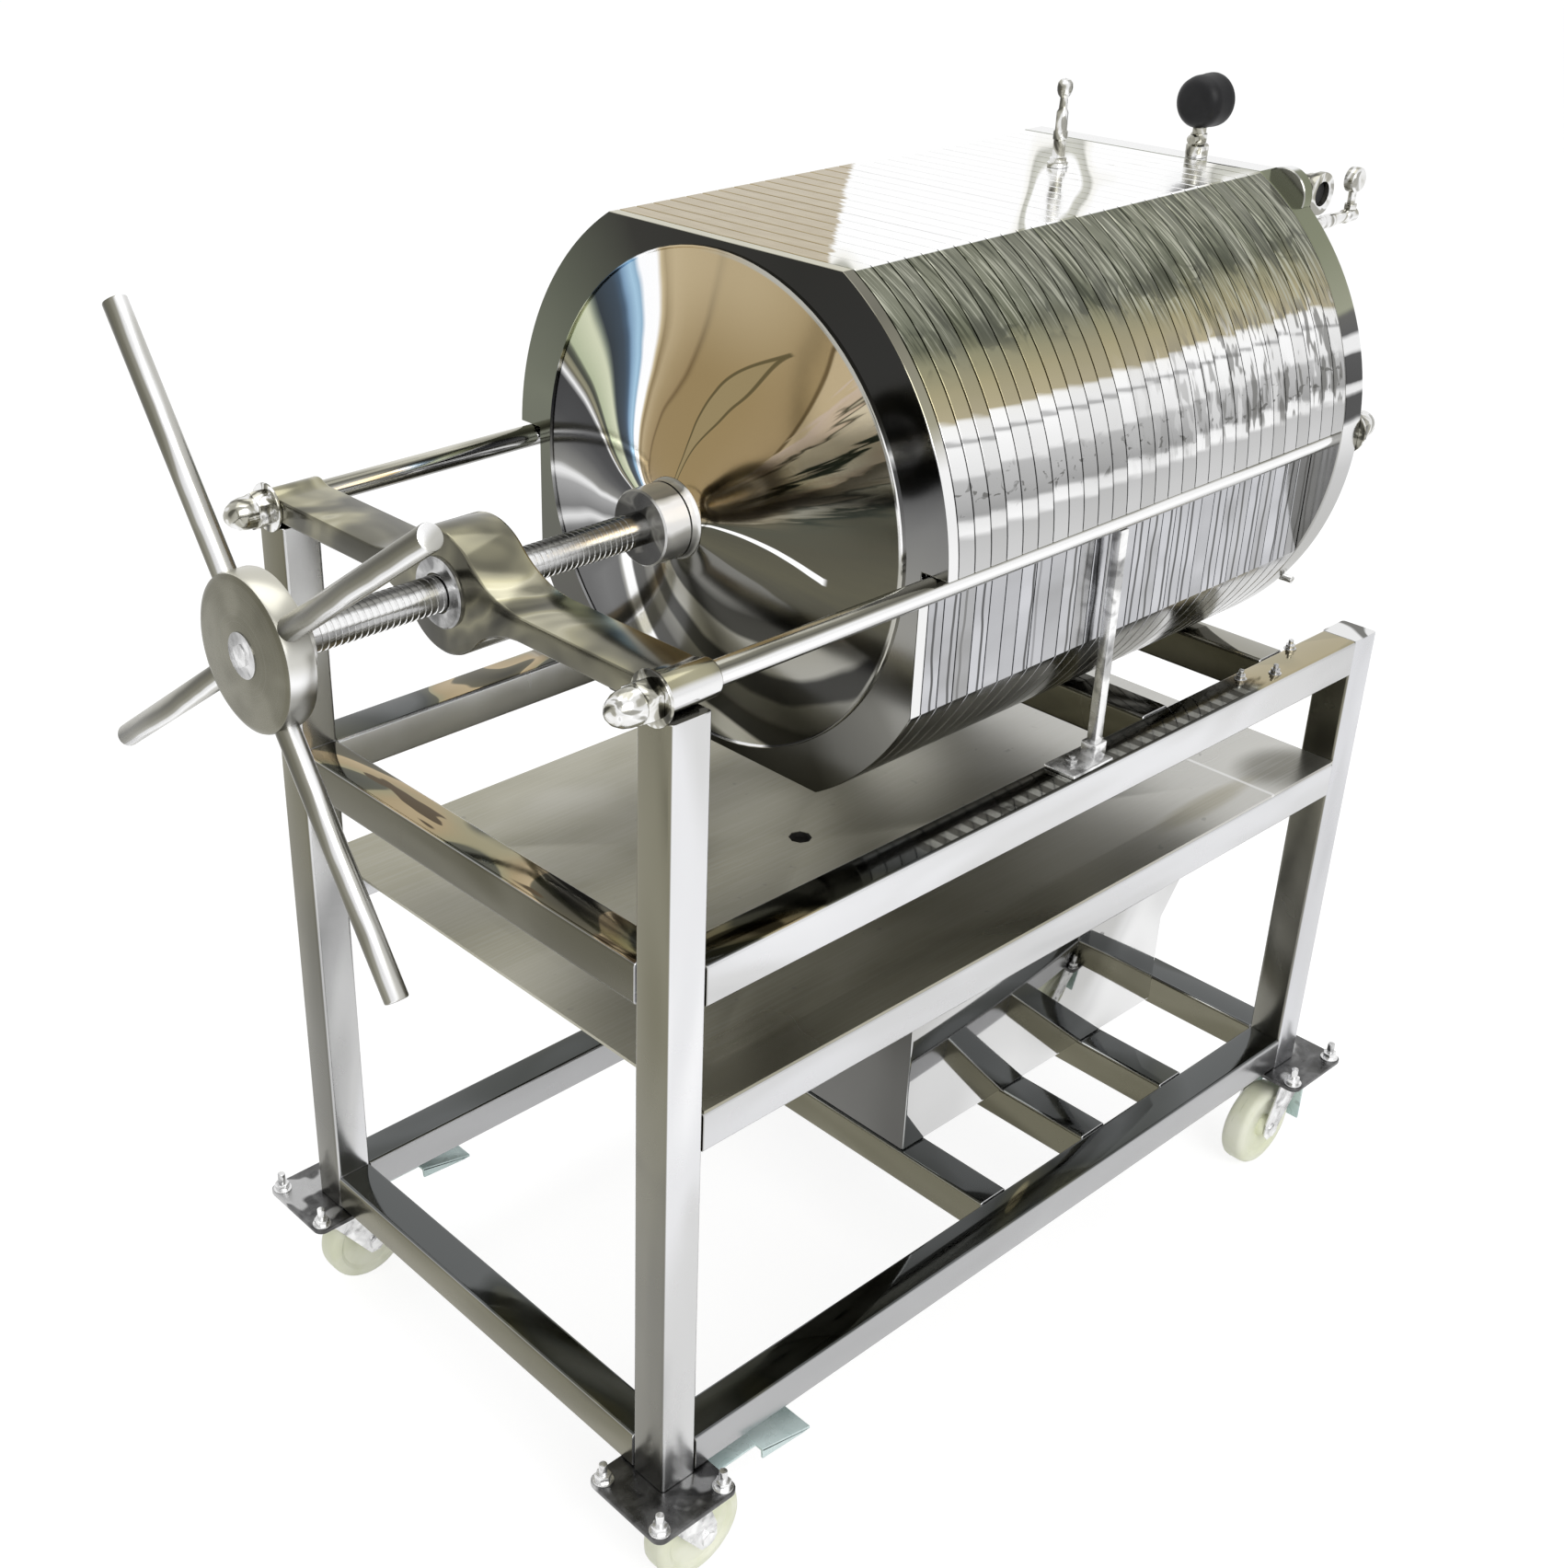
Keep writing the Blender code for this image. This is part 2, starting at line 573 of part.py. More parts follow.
def build_spindle(slide):
    """The screw, its hub and the four round spokes. All turn about the screw line."""
    spin = empty("spindle_spin", (0.0, 0.0, 0.0), slide)
    shift = -HEAD_FRONT
    screw_low, screw_high = HUB_END + SEAT_GAP + shift, BOSS_START - SEAT_GAP + shift
    screw = rod(SCREW_RADIUS, "X", screw_low, screw_high, 24)
    add_object("screw", screw, "polished_steel", spin, smooth=40)

    face = HUB_FACE_X + shift
    hub_profile = [
        (face, 0.0), (face, HUB_RADIUS - HUB_CHAMFER), (face + HUB_CHAMFER, HUB_RADIUS),
        (face + HUB_THICKNESS, HUB_RADIUS), (face + HUB_THICKNESS, HUB_NECK_RADIUS),
        (HUB_END + shift, HUB_NECK_RADIUS), (HUB_END + shift, 0.0),
    ]
    add_object("hub", turned(hub_profile, "X", 32), "polished_steel", spin, smooth=35)
    plane = face + HUB_THICKNESS / 2
    for number in range(4):
        angle = math.radians(SPOKE_TURN_DEG + 90.0 * number)
        made = rod(SPOKE_RADIUS, "X", HUB_RADIUS + SEAT_GAP, SPOKE_REACH, 12)
        spoke = add_object(f"spoke_{number + 1}", made, "polished_steel", spin, (plane, 0.0, 0.0), smooth=40)
        out = Vector((0.0, math.cos(angle), math.sin(angle)))
        spoke.rotation_mode = "QUATERNION"
        spoke.rotation_quaternion = Vector((1, 0, 0)).rotation_difference(out)


def build_rear_head(root):
    """The fixed head: a thick disc that stands on the rear bearer and holds both tie bars. A round
    lug near its top carries the outlet."""
    radius = PLATE_RADIUS
    angle = math.degrees(math.asin(PLATE_FLAT / radius))
    right = arc((0, 0), radius, angle, -angle, 18)
    outline = right + [(-y, z) for y, z in reversed(right)]
    made = prism(outline, "X", 0.0, REAR_HEAD_THICKNESS)
    head = add_object("rear_head", made, "polished_steel", root, (REAR_HEAD_START, MIDDLE_Y, SCREW_LINE), smooth=30)
    for sign in (-1, 1):
        cutter = rod(TIE_BAR_RADIUS + SEAT_GAP, "X", -REAR_HEAD_THICKNESS, 2 * REAR_HEAD_THICKNESS, 20)
        place = (REAR_HEAD_START, MIDDLE_Y + sign * TIE_BAR_OFFSET, SCREW_LINE)
        tool = add_object(f"rear_bar_hole_{sign}", cutter, "polished_steel", root, place)
        combine(head, tool, "DIFFERENCE")
    lug = rod(PORT_LUG_RADIUS, "X", -PORT_LUG_THICKNESS, 0.0, 24)
    place = (REAR_HEAD_END, MIDDLE_Y - PORT_SIDE, SCREW_LINE + PORT_RISE)
    combine(head, add_object("outlet_lug", lug, "polished_steel", root, place), "UNION")


def build_rear_feet(root):
    """Two pads between the rear head and the bearer under it."""
    low = UPPER_RAIL_TOP + SEAT_GAP
    high = PLATE_BOTTOM - SEAT_GAP
    for side, sign in (("near", -1), ("far", 1)):
        middle = MIDDLE_Y + sign * REAR_FOOT_SPREAD
        half = REAR_FOOT_WIDTH / 2
        made = box((REAR_BEARER_X, middle - half, low), (REAR_BEARER_X + TUBE, middle + half, high))
        add_object(f"rear_foot_{side}", made, "zinc_steel", root)


def build_outlet(root):
    """The outlet elbow, whose mouth faces the near side, and the small cock that stands beside and
    under it with a round knob on its stem."""
    y = MIDDLE_Y - PORT_SIDE
    z = SCREW_LINE + PORT_RISE
    start = REAR_HEAD_END + SEAT_GAP
    made = bmesh.new()
    turn = Matrix.Translation((start, y, z)) @ Matrix.Rotation(math.pi / 2, 4, "Y")
    ring = bmesh.ops.create_circle(made, cap_ends=True, radius=PORT_RADIUS, segments=20, matrix=turn)
    rim = list({edge for vert in ring["verts"] for edge in vert.link_edges})
    faces = list({face for vert in ring["verts"] for face in vert.link_faces})
    bmesh.ops.spin(made, geom=ring["verts"] + rim + faces, cent=(start, y - PORT_BEND, z), axis=(0, 0, 1),
                   angle=-math.pi / 2, steps=6)
    elbow = add_object("outlet_elbow", made, "polished_steel", root, smooth=35)
    mouth = (start + PORT_BEND, y - PORT_BEND, z)
    bore = rod(PORT_BORE, "Y", -PORT_RADIUS, PORT_BEND, 20)
    combine(elbow, add_object("outlet_bore", bore, "polished_steel", root, mouth), "DIFFERENCE")

    place = (start, y - COCK_SIDE, z - COCK_FALL)
    body = rod(COCK_RADIUS, "X", 0.0, COCK_REACH + COCK_END, 16)
    cock = add_object("outlet_cock", body, "polished_steel", root, place, smooth=35)
    stem = rod(COCK_STEM_RADIUS, "Z", 0.0, COCK_STEM_HEIGHT, 12)
    stem_place = (place[0] + COCK_REACH, place[1], place[2])
    combine(cock, add_object("cock_stem", stem, "polished_steel", root, stem_place), "UNION")
    knob = rod(COCK_KNOB_RADIUS, "Y", -COCK_KNOB_WIDTH / 2, COCK_KNOB_WIDTH / 2, 20)
    knob_place = (stem_place[0], stem_place[1], stem_place[2] + COCK_STEM_HEIGHT + COCK_KNOB_RADIUS * 0.8)
    combine(cock, add_object("cock_knob", knob, "polished_steel", root, knob_place), "UNION")


def build_drain_cock(root):
    """The drain cock low on the rear head's near side, with its short lever."""
    place = (REAR_HEAD_END + SEAT_GAP, MIDDLE_Y - DRAIN_COCK_SIDE, SCREW_LINE - DRAIN_COCK_FALL)
    body = turned(
        [
            (0.0, 0.0), (0.0, DRAIN_COCK_RADIUS), (DRAIN_COCK_LENGTH * 0.7, DRAIN_COCK_RADIUS),
            (DRAIN_COCK_LENGTH * 0.8, DRAIN_COCK_RADIUS * 0.7), (DRAIN_COCK_LENGTH, DRAIN_COCK_RADIUS * 0.7),
            (DRAIN_COCK_LENGTH, 0.0),
        ],
        "X",
        16,
    )
    cock = add_object("drain_cock", body, "polished_steel", root, place, smooth=35)
    lever = rod(DRAIN_LEVER_RADIUS, "Y", -DRAIN_LEVER_LENGTH, 0.0, 12)
    lever_place = (place[0] + DRAIN_COCK_LENGTH * 0.4, place[1], place[2])
    combine(cock, add_object("drain_lever", lever, "polished_steel", root, lever_place), "UNION")


def build_gauge(root):
    """The pressure gauge on its stem, on top of the rear head."""
    x = REAR_HEAD_START + REAR_HEAD_THICKNESS / 2
    y = MIDDLE_Y - GAUGE_SIDE
    low = PLATE_TOP + SEAT_GAP
    centre = GAUGE_STEM_HEIGHT + GAUGE_RADIUS
    stem = turned([(0.0, 0.0), (0.0, GAUGE_FOOT_RADIUS), (GAUGE_FOOT_HEIGHT, GAUGE_FOOT_RADIUS),
                   (GAUGE_FOOT_HEIGHT, GAUGE_STEM_RADIUS), (centre, GAUGE_STEM_RADIUS), (centre, 0.0)], "Z", 12)
    gauge = add_object("gauge", stem, "black_plastic", root, (x, y, low), smooth=35)
    case = turned([(-GAUGE_DEPTH / 2, 0.0), (-GAUGE_DEPTH / 2, GAUGE_RADIUS * 0.8),
                   (-GAUGE_DEPTH * 0.25, GAUGE_RADIUS), (GAUGE_DEPTH / 2, GAUGE_RADIUS), (GAUGE_DEPTH / 2, 0.0)],
                  "X", 24)
    tool = add_object("gauge_case", case, "black_plastic", root, (x, y, low + centre))
    combine(gauge, tool, "UNION")


def build_vent(root):
    """The slim vent valve on the stack."""
    low = PLATE_TOP + SEAT_GAP
    x = REAR_HEAD_START - VENT_FROM_REAR_HEAD
    profile = [(0.0, 0.0), (0.0, VENT_FOOT_RADIUS), (VENT_FOOT_HEIGHT, VENT_FOOT_RADIUS),
               (VENT_FOOT_HEIGHT, VENT_RADIUS),
               (VENT_HEIGHT * 0.72, VENT_RADIUS), (VENT_HEIGHT * 0.76, VENT_RADIUS * 0.6),
               (VENT_HEIGHT * 0.84, VENT_RADIUS * 0.6), (VENT_HEIGHT * 0.90, VENT_RADIUS * 1.1),
               (VENT_HEIGHT, VENT_RADIUS * 0.7), (VENT_HEIGHT, 0.0)]
    add_object("vent_valve", turned(profile, "Z", 14), "polished_steel", root, (x, MIDDLE_Y, low), smooth=40)


def build_legs(root):
    """Square legs from the upper rails to the tie bars, each on a block and a flat foot that
    reaches towards the hand wheel."""
    x = FRAME_LENGTH - LEG_FROM_REAR
    for side, sign in (("near", -1), ("far", 1)):
        y = MIDDLE_Y + sign * TIE_BAR_OFFSET
        low = UPPER_RAIL_TOP + SEAT_GAP
        high = SCREW_LINE - TIE_BAR_RADIUS - SEAT_GAP
        foot = box(
            (x + LEG_BLOCK_WIDTH / 2 - LEG_FOOT_LENGTH, y - LEG_FOOT_WIDTH / 2, low),
            (x + LEG_BLOCK_WIDTH / 2, y + LEG_FOOT_WIDTH / 2, low + LEG_FOOT_THICKNESS),
        )
        leg = add_object(f"leg_{side}", foot, "zinc_steel", root)
        block = box(
            (x - LEG_BLOCK_WIDTH / 2, y - LEG_BLOCK_WIDTH / 2, low),
            (x + LEG_BLOCK_WIDTH / 2, y + LEG_BLOCK_WIDTH / 2, low + LEG_BLOCK_HEIGHT),
        )
        combine(leg, add_object(f"leg_block_{side}", block, "zinc_steel", root), "UNION")
        bar = box(
            (x - LEG_WIDTH / 2, y - LEG_THICKNESS / 2, low + LEG_FOOT_THICKNESS / 2),
            (x + LEG_WIDTH / 2, y + LEG_THICKNESS / 2, high),
        )
        combine(leg, add_object(f"leg_bar_{side}", bar, "zinc_steel", root), "UNION")


def front_pedal(name, swivel, crown_low):
    """A raised brake pedal that reaches out past the wheel, with its sides turned down."""
    high = crown_low + FORK_SHEET
    arm = [
        (CASTER_TRAIL / 2, crown_low), (PEDAL_START, crown_low), (PEDAL_END, crown_low - PEDAL_FALL),
        (PEDAL_END, high - PEDAL_FALL), (PEDAL_START, high), (CASTER_TRAIL / 2, high),
    ]
    made = prism(arm, "Y", -PEDAL_ARM_WIDTH / 2, PEDAL_ARM_WIDTH / 2)
    parts = [add_object(f"pedal_arm_{name}", made, "pedal_paint", swivel)]
    pad = [
        (PEDAL_START, crown_low), (PEDAL_END, crown_low - PEDAL_FALL),
        (PEDAL_END, high + FORK_SHEET / 4 - PEDAL_FALL), (PEDAL_START, high + FORK_SHEET / 4),
    ]
    made = prism(pad, "Y", -PEDAL_WIDTH / 2, PEDAL_WIDTH / 2)
    parts.append(add_object(f"pedal_{name}", made, "pedal_paint", swivel))
    skirt = [
        (PEDAL_START, high), (PEDAL_START, crown_low - PEDAL_SKIRT),
        (PEDAL_END, crown_low - PEDAL_FALL), (PEDAL_END, high - PEDAL_FALL),
    ]
    for sign, label in ((-1, "a"), (1, "b")):
        edges = sorted((sign * PEDAL_WIDTH / 2, sign * (PEDAL_WIDTH / 2 - FORK_SHEET)))
        parts.append(add_object(f"skirt_{label}_{name}", prism(skirt, "Y", *edges), "pedal_paint", swivel))
    return parts


def rear_pedal(name, swivel, crown_low):
    """A brake pedal pressed down: it hangs beside the wheel, away from where the wheel trails."""
    low, high = crown_low + FORK_SHEET - PEDAL_HANG, crown_low + FORK_SHEET * 0.8
    back = -PEDAL_SETBACK
    made = box((back, -PEDAL_WIDTH / 2, low), (back + FORK_SHEET, PEDAL_WIDTH / 2, high))
    parts = [add_object(f"pedal_{name}", made, "pedal_paint", swivel)]
    made = box((back, -PEDAL_ARM_WIDTH / 2, crown_low), (-FORK_HEEL / 2, PEDAL_ARM_WIDTH / 2, high))
    parts.append(add_object(f"pedal_arm_{name}", made, "pedal_paint", swivel))
    return parts


def build_caster(name, root, x, y, rest_deg):
    """Top plate, swivelling fork with its brake pedal, and the wheel."""
    swivel_at = (x, y, 0.0)
    half = CASTER_PLATE / 2
    high = -SEAT_GAP
    low = high - CASTER_PLATE_THICKNESS
    plate = tube_along(2, (-half, -half, low), (half, half, high), corner=CASTER_PLATE_CORNER)
    plate_object = add_object(f"caster_plate_{name}", plate, "zinc_steel", root, swivel_at)
    race_low = low - CASTER_RACE_HEIGHT
    race = rod(CASTER_RACE_RADIUS, "Z", race_low, low + JOIN, 20)
    combine(plate_object, add_object(f"race_{name}", race, "zinc_steel", root, swivel_at), "UNION")

    swivel = empty(f"swivel_{name}", swivel_at, root, math.radians(rest_deg))
    axle_z = WHEEL_RADIUS - CASTER_HEIGHT
    crown_high = race_low - SEAT_GAP
    crown_low = crown_high - FORK_SHEET
    inner = WHEEL_WIDTH / 2 + WHEEL_SIDE_GAP
    outer = inner + FORK_SHEET
    crown = rod(CASTER_RACE_RADIUS, "Z", crown_low, crown_high, 20)
    fork = add_object(f"fork_{name}", crown, "zinc_steel", swivel)
    bridge = box((-FORK_HEEL, -outer, crown_low), (CASTER_TRAIL * 0.9, outer, crown_low + FORK_SHEET * 0.8))
    combine(fork, add_object(f"bridge_{name}", bridge, "zinc_steel", swivel), "UNION")
    cheek = [(-FORK_HEEL, crown_low + FORK_SHEET / 3), (CASTER_TRAIL * 0.9, crown_low + FORK_SHEET / 3)]
    cheek += [(CASTER_TRAIL + CHEEK_RADIUS, axle_z + CHEEK_RADIUS * 0.6)]
    cheek += arc((CASTER_TRAIL, axle_z), CHEEK_RADIUS, 0.0, -180.0, 6)
    for sign, label in ((-1, "a"), (1, "b")):
        edges = sorted((sign * inner, sign * outer))
        made = prism(cheek, "Y", *edges)
        combine(fork, add_object(f"cheek_{label}_{name}", made, "zinc_steel", swivel), "UNION")
    axle = rod(AXLE_RADIUS, "Y", -outer - FORK_SHEET, outer + FORK_SHEET, 12)
    place = (CASTER_TRAIL, 0.0, axle_z)
    combine(fork, add_object(f"axle_{name}", axle, "zinc_steel", swivel, place), "UNION")
    pedal = front_pedal if PEDAL_UP[name] else rear_pedal
    for part in pedal(name, swivel, crown_low):
        combine(fork, part, "UNION")

    half_width = WHEEL_WIDTH / 2
    hub_half = half_width + WHEEL_SIDE_GAP - WHEEL_HUB_GAP
    bore = AXLE_RADIUS + RUN_GAP
    web = -half_width + WHEEL_WEB_SINK
    wheel_profile = [
        (-hub_half, bore), (-hub_half, WHEEL_HUB_RADIUS), (web, WHEEL_HUB_RADIUS),
        (web, WHEEL_WEB_RADIUS), (-half_width, WHEEL_WEB_RADIUS + WHEEL_WEB_SINK),
        (-half_width, WHEEL_RADIUS - TREAD_ROUND), (-half_width + TREAD_ROUND, WHEEL_RADIUS),
    ]
    wheel_profile += [(-a, r) for a, r in reversed(wheel_profile)]
    wheel = turned(wheel_profile, "Y", 24, closed=True)
    add_object(f"wheel_{name}", wheel, "nylon", swivel, place, smooth=40)


def build_press():
    for old in list(bpy.data.objects):
        bpy.data.objects.remove(old, do_unlink=True)
    root = empty("press_origin", WORLD_SHIFT)
    build_frame(root)
    build_drip_tray(root)
    build_cabinet(root)
    build_tie_bars(root)
    build_crossbeam(root)
    build_plates(root)
    build_spindle(build_moving_head(root))
    build_rear_head(root)
    build_rear_feet(root)
    build_outlet(root)
    build_drain_cock(root)
    build_gauge(root)
    build_vent(root)
    build_legs(root)
    near, far = CASTER_INSET, FRAME_WIDTH - CASTER_INSET
    front, rear = CASTER_INSET, FRAME_LENGTH - CASTER_INSET
    for end, x in (("front", front), ("rear", rear)):
        for side, y in (("near", near), ("far", far)):
            name = f"{end}_{side}"
            build_caster(name, root, x, y, CASTER_REST[name])


build_press()
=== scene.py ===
"""Dresses the plate filter press with finished pieces, surfaces and a plain studio."""

import json
import math

import bmesh
import bpy
from bpy.props import FloatProperty, FloatVectorProperty, IntProperty, PointerProperty
from mathutils import Matrix, Vector


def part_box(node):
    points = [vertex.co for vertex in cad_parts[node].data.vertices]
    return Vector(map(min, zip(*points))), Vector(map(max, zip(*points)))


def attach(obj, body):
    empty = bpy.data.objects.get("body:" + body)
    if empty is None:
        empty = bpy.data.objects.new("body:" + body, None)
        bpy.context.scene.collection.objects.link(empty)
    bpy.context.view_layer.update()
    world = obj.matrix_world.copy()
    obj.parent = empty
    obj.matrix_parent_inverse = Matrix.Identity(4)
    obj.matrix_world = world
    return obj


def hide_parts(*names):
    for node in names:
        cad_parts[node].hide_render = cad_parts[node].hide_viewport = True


bl_info = {
    "name": "Plate filter press",
    "version": (1, 0, 0),
    "blender": (4, 5, 0),
    "location": "View3D > Sidebar > Filter Press",
    "description": "Finished pieces, steel surfaces and a studio for a plate filter press",
    "category": "Object",
}

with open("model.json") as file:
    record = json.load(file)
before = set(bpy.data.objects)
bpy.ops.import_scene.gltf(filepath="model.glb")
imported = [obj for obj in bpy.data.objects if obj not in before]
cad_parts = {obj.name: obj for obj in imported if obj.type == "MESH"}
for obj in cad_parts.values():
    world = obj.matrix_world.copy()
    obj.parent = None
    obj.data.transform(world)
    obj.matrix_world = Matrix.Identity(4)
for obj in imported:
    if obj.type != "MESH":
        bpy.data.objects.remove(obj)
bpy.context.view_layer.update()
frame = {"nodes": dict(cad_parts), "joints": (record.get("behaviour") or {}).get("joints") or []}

# The welded frame's near corner at the hand-wheel end
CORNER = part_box("post_front_near")[0]
PACKS = 4
PLATES_A_PACK = 7
SHOULDER_RISE = 0.0108
PLATE_LOW, PLATE_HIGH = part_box("plate_pack_1")
REAR_LOW, REAR_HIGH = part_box("rear_head")
PACK_LENGTH = (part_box("plate_pack_4")[1].x - PLATE_LOW.x) / PACKS
PITCH = PACK_LENGTH / PLATES_A_PACK
MIDDLE_Y = (PLATE_LOW.y + PLATE_HIGH.y) / 2
AXIS_Z = (PLATE_LOW.z + PLATE_HIGH.z) / 2
RIM_FLAT = (PLATE_HIGH.z - PLATE_LOW.z) / 2
RIM_RADIUS = (REAR_HIGH.y - REAR_LOW.y) / 2
BAR_Y = {
    side: sum(corner.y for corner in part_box("tie_bar_" + side)) / 2 for side in ("near", "far")}
SIDES = tuple(BAR_Y)
CORNERS = ("front_near", "front_far", "rear_near", "rear_far")
UP = Vector((0, 0, 1))
REARWARD = Vector((1, 0, 0))
FARWARD = Vector((0, 1, 0))
ACROSS = Matrix.Rotation(math.pi / 2, 4, "Y")
STANDING = Matrix.Rotation(math.pi / 2, 4, "X")

# Where the tan reflection on the flat top ends, and how it leans over the width
TAN_END = 0.446
TAN_LEAN = 1.17

BAR_RADIUS = 0.0105
SPOKE_REACH = 0.2818
SPOKE_RADIUS = 0.01
BOLT_INSET = 0.038

# The middle of the outlet's port on the rear head's outer face
ELBOW_LOW, ELBOW_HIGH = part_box("outlet_elbow")
PORT = Vector((ELBOW_LOW.x, ELBOW_LOW.y + 0.022, (ELBOW_LOW.z + ELBOW_HIGH.z) / 2))


# Sizes and colours that a user may change


class FilterPressSizes(bpy.types.PropertyGroup):
    tube_corner: FloatProperty(
        name="Tube corner", description="Outer corner radius of the square tubes", default=0.004,
        min=0.001, max=0.015, unit="LENGTH")
    plate_seam: FloatProperty(
        name="Plate seam", description="Gap between the rims of two plates", default=0.0014,
        min=0.0005, max=0.004, unit="LENGTH")
    seam_depth: FloatProperty(
        name="Seam depth", description="How far the gasket lies below the rims", default=0.005,
        min=0.001, max=0.015, unit="LENGTH")
    plate_count: IntProperty(
        name="Plates in a pack", description="Plates in each of the four packs",
        default=PLATES_A_PACK, min=1, max=12)
    shoulder: FloatProperty(
        name="Shoulder",
        description="How far a plate's shoulder stands out above its straight side",
        default=0.028, min=0.01, max=0.06, unit="LENGTH")
    thread_pitch: FloatProperty(
        name="Thread pitch", description="Distance between two turns of the screw's thread",
        default=0.006, min=0.002, max=0.02, unit="LENGTH")
    thread_depth: FloatProperty(
        name="Thread depth", description="Height of the screw's thread", default=0.0007,
        min=0.0005, max=0.006, unit="LENGTH")
    stud: FloatProperty(
        name="Caster stud", description="Radius of the studs through the caster plates",
        default=0.004, min=0.002, max=0.01, unit="LENGTH")
    floor_reach: FloatProperty(
        name="Floor", description="Radius of the studio floor", default=30.0, min=3.0, max=100.0,
        unit="LENGTH")


class FilterPressColours(bpy.types.PropertyGroup):
    gasket: FloatVectorProperty(
        name="Gasket", description="Rubber between the plates", subtype="COLOR", size=3,
        default=(0.02, 0.02, 0.018), min=0, max=1)
    wheel: FloatVectorProperty(
        name="Wheel", description="Cream nylon of the caster wheels", subtype="COLOR", size=3,
        default=(0.8, 0.82, 0.62), min=0, max=1)
    pedal: FloatVectorProperty(
        name="Pedal", description="Pale paint of the brake pedals", subtype="COLOR", size=3,
        default=(0.44, 0.58, 0.57), min=0, max=1)
    gauge: FloatVectorProperty(
        name="Gauge", description="Black case of the gauge", subtype="COLOR", size=3,
        default=(0.006, 0.006, 0.007), min=0, max=1)
    floor: FloatVectorProperty(
        name="Floor", description="Studio floor", subtype="COLOR", size=3,
        default=(0.8, 0.8, 0.8), min=0, max=1)


# Shader building


class Wire:
    """One output socket. Arithmetic on wires and numbers adds the Math nodes that work it out."""

    def __init__(self, finish, socket):
        self.finish = finish
        self.socket = socket

    def maths(self, operation, *values):
        settings = {"operation": operation}
        return self.finish.node("ShaderNodeMath", settings, dict(enumerate(values)))

    def __add__(self, other):
        return self.maths("ADD", self, other)

    __radd__ = __add__

    def __sub__(self, other):
        return self.maths("SUBTRACT", self, other)

    def __rsub__(self, other):
        return self.maths("SUBTRACT", other, self)

    def __mul__(self, other):
        return self.maths("MULTIPLY", self, other)

    __rmul__ = __mul__

    def __truediv__(self, other):
        return self.maths("DIVIDE", self, other)


